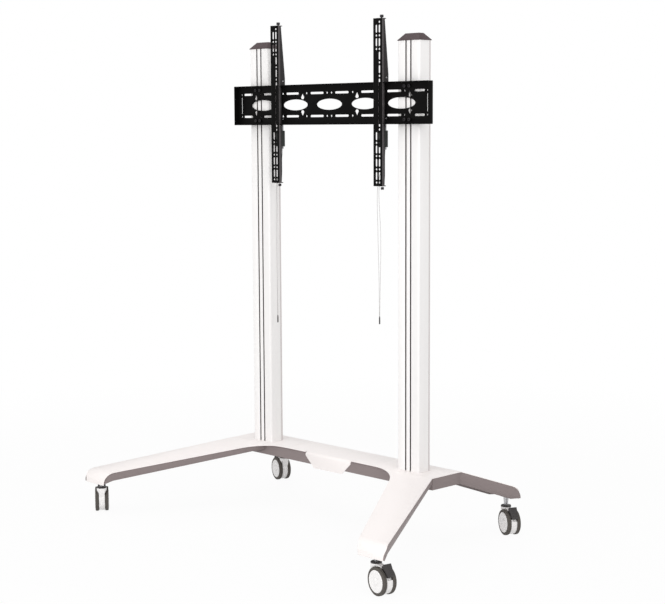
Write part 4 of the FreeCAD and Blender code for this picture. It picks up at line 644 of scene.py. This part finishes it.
def fine_line(points, step=1.2 * MM):
    """The same line with points close enough together for its plies."""
    out = [points[0]]
    for start, end in zip(points, points[1:]):
        parts = max(1, math.ceil((end - start).length / step))
        out += [start.lerp(end, part / parts) for part in range(1, parts + 1)]
    return out


# A cord tip's outline, as shares of its radius and of its length down from its top
TIP_OUTLINE = (
    (0, 0), (0.72, 0), (0.86, 0.12), (1, 0.3), (1, 0.96), (0.7, 1), (0, 1),
)
TIP_ROUNDING = 0.8 * MM


def make_tip(side_name, low):
    """The moulded tip that both strands of a side end in."""
    node = f"cord_tip_{side_name}"
    outline = [(TIP_RADIUS * out, -TIP_LENGTH * down) for out, down in TIP_OUTLINE]
    top = Vector((low.x, low.y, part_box(node)[1].z))
    shape = turned(rounded(outline, TIP_ROUNDING), top, UP, steps=32)
    mesh = joined("cord_tip", [shape], finish["cord_tip"])
    return new_piece(node + "_turned", mesh, "cord_tip", body_of[node], node)


def make_cords():
    """Two strands and a tip below each arm's latch."""
    for side_name, side in SIDES.items():
        lines = {}
        for strand in ("a", "b"):
            name = f"{side_name}_{strand}"
            lines[strand] = cord_line("cord_" + name, CORD_ROUTES[name], side)
        tip = make_tip(side_name, (lines["a"][-1] + lines["b"][-1]) / 2)
        for strand, line in lines.items():
            node = f"cord_{side_name}_{strand}"
            mesh = laid_cord(node + "_laid", fine_line(line), CORD_DIAMETER, finish["cord"])
            cord = new_piece(node + "_laid", mesh, "cord", body_of[node], node)


# Base, columns, plate and arms: the CAD shapes with their edges softened

# Each piece's edge radius, and the sides that it comes in
BOTH = ("_right", "_left")
ONE = ("",)
EDGES = (
    ("side_cover", 0.8 * MM, BOTH),
    ("centre_cover", 0.8 * MM, ONE),
    ("cross_beam", 1.0 * MM, ONE),
    ("front_leg", 1.2 * MM, BOTH),
    ("rear_leg", 1.2 * MM, BOTH),
    ("column", 0.35 * MM, BOTH),
    ("rear_cover", 1.0 * MM, BOTH),
    ("cap", 0.6 * MM, BOTH),
    ("wall_plate", 0.5 * MM, ONE),
    ("column_brackets", 0.5 * MM, ONE),
    ("arm", 0.5 * MM, BOTH),
    ("latch_housing", 0.7 * MM, BOTH),
    ("latch", 0.4 * MM, BOTH),
    ("swivel_caps", 0.8 * MM, ONE),
)
OTHER_LOOKS = {"rear_cover": "rear_cover"}
PLAIN_NODES = ("base_bolts", "caster_stems", "column_feet", "slot_nuts", "swivel_bushes")


def dress_stand():
    for name, edge, sides in EDGES:
        for side in sides:
            dressed(name + side, edge, OTHER_LOOKS.get(name))
    for node in PLAIN_NODES:
        coated(node)


# Faces with painted shade or a painted highlight, unlike the rest of their piece

COLUMN_PLACE = 0.4075
# Where the painted shade in each column's T-slots lies: off the column's middle, how far either way, and from how
# deep to how deep behind the front face
SLOT_PLACE = 12 * MM
SLOT_REACH = 8 * MM
SLOT_DEPTH = 9 * MM
SHADE_START_DEPTH = 0.4 * MM
FACING = 0.9


def recoat(node, look, picked):
    """Gives another finish to the faces of a dressed node that a test picks."""
    mesh = bpy.data.objects[node + "_skin"].data
    mesh.materials.append(finish[look])
    for face in mesh.polygons:
        if picked(face.center, face.normal):
            face.material_index = len(mesh.materials) - 1


def recoat_faces():
    """Painted shade in the T-slots and on the seams behind the columns, and a painted highlight on the arms'
    flanges.
    """
    for side_name, side in SIDES.items():
        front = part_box(f"column_{side_name}")[0].y

        # faces inside the T-slots get painted shade
        def in_slot(centre, normal):
            off = abs(abs(centre.x - COLUMN_PLACE * side) - SLOT_PLACE)
            return off < SLOT_REACH and SHADE_START_DEPTH < centre.y - front < SLOT_DEPTH

        recoat(f"column_{side_name}", "painted_shade", in_slot)
        # the rear cover's forward-facing faces, at the seam with the column, get painted shade for the shadow gap
        # there
        recoat(f"rear_cover_{side_name}", "painted_shade", lambda centre, normal: normal.y < -FACING)
        # the arms' flange faces that face +X get the painted highlight
        recoat(f"arm_{side_name}", "flange_painted_highlight", lambda centre, normal: normal.x > FACING)


# Screws and rivets

PLATE_SCREW_ACROSS = 12 * MM
PLATE_MIDDLE = 1.6635
PLATE_SCREW_SPREAD = 62 * MM
SCREW_HEAD_RADIUS = 6.5 * MM
SCREW_HEAD_HEIGHT = 6 * MM
SCREW_SHANK_RADIUS = 4 * MM
SCREW_HEAD_EDGE = 0.6 * MM
SOCKET_RADIUS = 3.4 * MM
SOCKET_DEPTH = 3.2 * MM


def hexagon(shape, radius):
    """Bends the rings that lie at a radius into a hexagon, for a key."""
    half = math.radians(30)
    for vertex in shape.verts:
        reach = math.hypot(vertex.co.x, vertex.co.y)
        if radius * 0.5 < reach < radius * 1.02:
            angle = math.atan2(vertex.co.y, vertex.co.x) % (half * 2) - half
            factor = math.cos(half) / math.cos(angle)
            vertex.co.x *= factor
            vertex.co.y *= factor
    return shape


def socket_screw(length):
    """A cap screw along Z from its seat: a head with a hexagon socket, and its shank."""
    radius, height, edge = SCREW_HEAD_RADIUS, SCREW_HEAD_HEIGHT, SCREW_HEAD_EDGE
    profile = [
        (0, height - SOCKET_DEPTH),
        (SOCKET_RADIUS, height - SOCKET_DEPTH),
        (SOCKET_RADIUS, height),
        (radius - edge, height),
        (radius, height - edge),
        (radius, edge / 2),
        (radius - edge / 2, 0),
        (SCREW_SHANK_RADIUS, 0),
        (SCREW_SHANK_RADIUS, -length),
        (0, -length),
    ]
    return hexagon(turned(profile, ORIGIN, UP, steps=48), SOCKET_RADIUS)


def make_plate_screws():
    """The four screws at each column that clamp the wall plate."""
    low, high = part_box("clamp_bolts")
    seat = low.y + SCREW_HEAD_HEIGHT
    places = []
    for side in (-1, 1):
        for across in (-1, 1):
            for level in (-1, 1):
                x = COLUMN_PLACE * side + PLATE_SCREW_ACROSS * across
                z = PLATE_MIDDLE + PLATE_SCREW_SPREAD * level
                places.append(((x, seat, z), (0, -1, 0)))
    mesh = repeated("clamp_screws", socket_screw(high.y - seat), places, finish["black_screw"])
    new_piece("clamp_screws", mesh, "black_screw", "plate", "clamp_bolts")


HOOK_RIVET_DEPTH = 0.1085
HOOK_RIVET_HEIGHTS = (1.7585, 1.6065)
RIVET_RADIUS = 3.2 * MM
RIVET_HEIGHT = 1.2 * MM
RIVET_SINK = 0.2 * MM
RIVET_STEPS = 5


def rivet():
    """A low domed head along Z, sunk a little into what it holds."""
    dome = []
    for step in range(RIVET_STEPS):
        angle = math.pi / 2 * step / RIVET_STEPS
        dome.append((RIVET_RADIUS * math.cos(angle), RIVET_HEIGHT * math.sin(angle)))
    profile = [(0, -RIVET_SINK), (RIVET_RADIUS, -RIVET_SINK), *dome, (0, RIVET_HEIGHT)]
    return turned(profile, ORIGIN, UP, steps=24)


def make_hook_rivets():
    """The rivets that hold the hooks to each arm's flange."""
    for side_name in SIDES:
        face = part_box(f"arm_{side_name}")[1].x
        places = [((face, HOOK_RIVET_DEPTH, up), (1, 0, 0)) for up in HOOK_RIVET_HEIGHTS]
        name = f"hook_rivets_{side_name}"
        mesh = repeated(name, rivet(), places, finish["latch_steel"])
        new_piece(name, mesh, "latch_steel", f"arm_{side_name}")


# Knurled screws

KNURLS = 30
KNURL_RADIUS = 0.34 * MM
KNURL_SINK = 0.8
KNOB_EDGE = 1.0 * MM
KNOB_ROUNDING = 0.4 * MM
DISH_RIM = 0.45
DISH_FOOT = 0.4
DISH_DEPTH = 0.5 * MM
ARM_SCREW_SHANK = 3 * MM
ARM_SCREW_POINT = 0.4 * MM
# Each knob's bottom, top and radius
ARM_SCREWS = (
    ("levelling_screw", 1.982, 1.992, 7 * MM),
    ("lock_screw", 1.338, 1.348, 6 * MM),
)


def ridge_bar(length, radius):
    """One half-round ridge along Z."""
    end = radius * 0.9
    profile = [(0, 0), (radius, end), (radius, length - end), (0, length)]
    return turned(profile, ORIGIN, UP, steps=8)


def knob_head(axis, low, high, reach):
    """A round head with a shallow dish in its top."""
    outline = [
        (0, low),
        (reach - KNOB_EDGE, low),
        (reach, low + KNOB_EDGE),
        (reach, high - KNOB_EDGE),
        (reach - KNOB_EDGE, high),
        (reach * DISH_RIM, high),
        (reach * DISH_FOOT, high - DISH_DEPTH),
        (0, high - DISH_DEPTH),
    ]
    return turned(rounded(outline, KNOB_ROUNDING), axis, UP, steps=64)


def knob_ridges(name, axis, low, high, reach):
    """Ridges all round a head, for the fingers."""
    places = []
    for number in range(KNURLS):
        angle = math.tau * number / KNURLS
        out = Vector((math.cos(angle), math.sin(angle), 0)) * reach
        places.append((axis + out + UP * (low + KNOB_EDGE), UP))
    bar = ridge_bar(high - low - KNOB_EDGE * 2, KNURL_RADIUS)
    mesh = repeated(name, bar, places, finish["black_screw"])
    shape = bmesh.new()
    shape.from_mesh(mesh)
    bpy.data.meshes.remove(mesh)
    return shape


def make_arm_screws():
    """The levelling screw on top of each arm and the lock screw at its foot."""
    for side_name in SIDES:
        for kind, low, high, radius in ARM_SCREWS:
            node = f"{kind}_{side_name}"
            name = node + "_knurled"
            place = joints[f"{node}_turn"]["pos_m"]
            axis = Vector((place[0], place[1], 0))
            reach = radius - KNURL_RADIUS * KNURL_SINK
            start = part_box(node)[0].z
            shank = [
                (0, start),
                (ARM_SCREW_SHANK - ARM_SCREW_POINT, start),
                (ARM_SCREW_SHANK, start + ARM_SCREW_POINT),
                (ARM_SCREW_SHANK, high),
                (0, high),
            ]
            shapes = [
                knob_head(axis, low, high, reach),
                knob_ridges(name + "_ridges", axis, low, high, reach),
                turned(shank, axis, UP, steps=32),
            ]
            mesh = joined(name, shapes, finish["black_screw"])
            new_piece(name, mesh, slot_of[node], body_of[node], node)


# Casters, with each profile's radius and distance from the caster's middle in millimetres

HUB_PROFILE = [
    (0, 12.4), (39.4, 12.4), (39.4, 26.4), (38.4, 27.9), (36.2, 28.7), (34.4, 28.6), (33.4, 27.6),
    (31.0, 27.0), (16.0, 26.2), (13.6, 26.3), (12.9, 25.6), (12.3, 25.7), (12.0, 27.6),
    (10.8, 28.4), (6.0, 28.9), (0, 29.0),
]
TYRE_PROFILE = [
    (39.4, 12.5), (44.0, 12.0), (47.6, 12.5), (49.4, 14.0), (50.0, 16.2), (50.0, 18.5),
    (49.5, 18.9), (49.5, 20.1), (50.0, 20.5), (50.0, 22.8), (49.4, 25.0), (47.6, 26.5),
    (44.0, 27.0), (39.4, 26.5), (39.4, 12.5),
]
TYRE_INNER = 39.4 * MM
TYRE_OUTER = 50 * MM


def axle_of(caster):
    """The middle of a caster's axle and the way that it points."""
    roll = joints[f"wheels_{caster}_roll"]
    return Vector(roll["pos_m"]), Vector(roll["axis"])


def wheel_shapes(profile, centre, axis):
    """The two mirrored halves of a caster's pair of hubs or tyres."""
    shapes = []
    for way in (1, -1):
        line = [(radius * MM, place * MM * way) for radius, place in profile]
        shapes.append(turned(line, centre, axis))
    return shapes


def make_wheels():
    """Each caster's hubs and tyres, and its other pieces as the CAD has them."""
    for caster in CASTERS:
        centre, axis = axle_of(caster)
        body = f"wheels_{caster}"
        white = finish["caster_white"]
        hubs = joined(f"hubs_{caster}", wheel_shapes(HUB_PROFILE, centre, axis), white, crease=50)
        new_piece(f"hubs_{caster}", hubs, "caster_white", body, f"caster_hubs_{caster}")
        rubber = tyre_rubber(
            f"tyre rubber {caster}", paint(73, 69, 65), tuple(centre), TYRE_INNER, TYRE_OUTER
        )
        rings = wheel_shapes(TYRE_PROFILE, centre, axis)
        tyres = joined(f"tyres_{caster}", rings, rubber, crease=60)
        new_piece(f"tyres_{caster}", tyres, "caster_tyre", body, f"caster_tyres_{caster}")
        coated(f"caster_axle_{caster}")
        dressed(f"caster_housing_{caster}", 0.5 * MM)
        dressed(f"brake_lever_{caster}", 0.4 * MM)


# The pedal's top face, in wheel radii ahead of the axle and above it
PEDAL_TOP = ((0.62, 1.227), (1.04, 0.667))
PEDAL_RIBS = 6
RIB_RADIUS = 0.7 * MM
RIB_LENGTH = 21 * MM


def make_pedal_ribs():
    """Ribs across each brake pedal, where the foot presses."""
    start, end = (Vector(point) for point in PEDAL_TOP)
    for caster in CASTERS:
        centre, axis = axle_of(caster)
        swivel = Vector(joints[f"swivel_{caster}"]["pos_m"])
        ahead = (centre - swivel) * Vector((1, 1, 0))
        ahead.normalize()
        places = []
        for number in range(PEDAL_RIBS):
            spot = start.lerp(end, number / (PEDAL_RIBS - 1)) * TYRE_OUTER
            middle = centre + ahead * spot.x + UP * spot.y
            places.append((middle - axis * RIB_LENGTH / 2, axis))
        name = f"pedal_ribs_{caster}"
        mesh = repeated(name, ridge_bar(RIB_LENGTH, RIB_RADIUS), places, finish["dark_plastic"])
        new_piece(name, mesh, "dark_plastic", f"brake_{caster}")


# Floor, light and the white round the stand

WHITE = (1, 1, 1, 1)
FLOOR_GREY = (236, 236, 236)
FLOOR_REACH = 14.0
FLOOR_SHINE = 0.94
FLOOR_SHADED = 1.6
FLOOR_BARE = 3.6


def seen_by_eye(tree):
    """1 for what the camera, a reflection or glass sees, 0 for what lights the stand."""
    path = add(tree, "ShaderNodeLightPath").outputs
    seen = plus(tree, path["Is Camera Ray"], path["Is Glossy Ray"])
    return add(
        tree, "ShaderNodeMath", {0: seen, 1: path["Is Transmission Ray"]},
        operation="ADD", use_clamp=True,
    ).outputs[0]


def make_floor():
    """A white floor that keeps the stand's shadow and is bare white far from it."""
    shape = bmesh.new()
    bmesh.ops.create_grid(shape, x_segments=8, y_segments=8, size=FLOOR_REACH)
    mesh = bpy.data.meshes.new("floor")
    shape.to_mesh(mesh)
    shape.free()
    material = bpy.data.materials.new("floor white")
    material.use_nodes = True
    tree = material.node_tree
    tree.nodes.clear()
    matt = add(tree, "ShaderNodeBsdfDiffuse", {"Color": paint(*FLOOR_GREY)})
    glow = add(tree, "ShaderNodeEmission", {"Color": WHITE, "Strength": 1.0})
    place = add(tree, "ShaderNodeTexCoord").outputs["Object"]
    reach = add(tree, "ShaderNodeVectorMath", {0: place}, operation="LENGTH").outputs["Value"]
    fade = spread(tree, reach, FLOOR_SHINE, 1.0, start=FLOOR_SHADED, end=FLOOR_BARE)
    share = times(tree, seen_by_eye(tree), fade)
    mixed = add(tree, "ShaderNodeMixShader", {0: share, 1: matt.outputs[0], 2: glow.outputs[0]})
    add(tree, "ShaderNodeOutputMaterial", {"Surface": mixed.outputs[0]})
    floor = bpy.data.objects.new("floor", give(mesh, material))
    bpy.context.scene.collection.objects.link(floor)


AMBIENT = 0.7


def make_world():
    """Soft light from all round, and plain white for what sees it."""
    world = bpy.data.worlds.new("studio")
    bpy.context.scene.world = world
    world.use_nodes = True
    tree = world.node_tree
    tree.nodes.clear()
    soft = add(tree, "ShaderNodeBackground", {"Color": WHITE, "Strength": AMBIENT})
    white = add(tree, "ShaderNodeBackground", {"Color": WHITE, "Strength": 1.0})
    share = seen_by_eye(tree)
    mixed = add(tree, "ShaderNodeMixShader", {0: share, 1: soft.outputs[0], 2: white.outputs[0]})
    add(tree, "ShaderNodeOutputWorld", {"Surface": mixed.outputs[0]})


# Each lamp's place, the point that it faces, its width and its power
LAMPS = (
    ("front_panel", (0.6, -5.2, 1.7), (0, 0, 0.7), 3.4, 80),
    ("right_panel", (5.2, -1.6, 2.6), (0, 0, 0.9), 3.0, 58),
    ("top_panel", (0.0, -0.6, 4.6), (0, 0, 0.3), 3.0, 28),
)


def make_lamps():
    """Three round soft panels."""
    for name, place, aim, size, power in LAMPS:
        lamp = bpy.data.lights.new(name, "AREA")
        lamp.shape = "DISK"
        lamp.size = size
        lamp.energy = power
        holder = bpy.data.objects.new(name, lamp)
        bpy.context.scene.collection.objects.link(holder)
        turn = (Vector(aim) - Vector(place)).to_track_quat("-Z", "Y")
        holder.matrix_world = Matrix.Translation(place) @ turn.to_matrix().to_4x4()


set_camera()
make_cords()
dress_stand()
recoat_faces()
make_plate_screws()
make_hook_rivets()
make_wheels()
make_pedal_ribs()
make_arm_screws()
make_floor()
make_world()
make_lamps()
bpy.context.scene.view_settings.view_transform = "Standard"
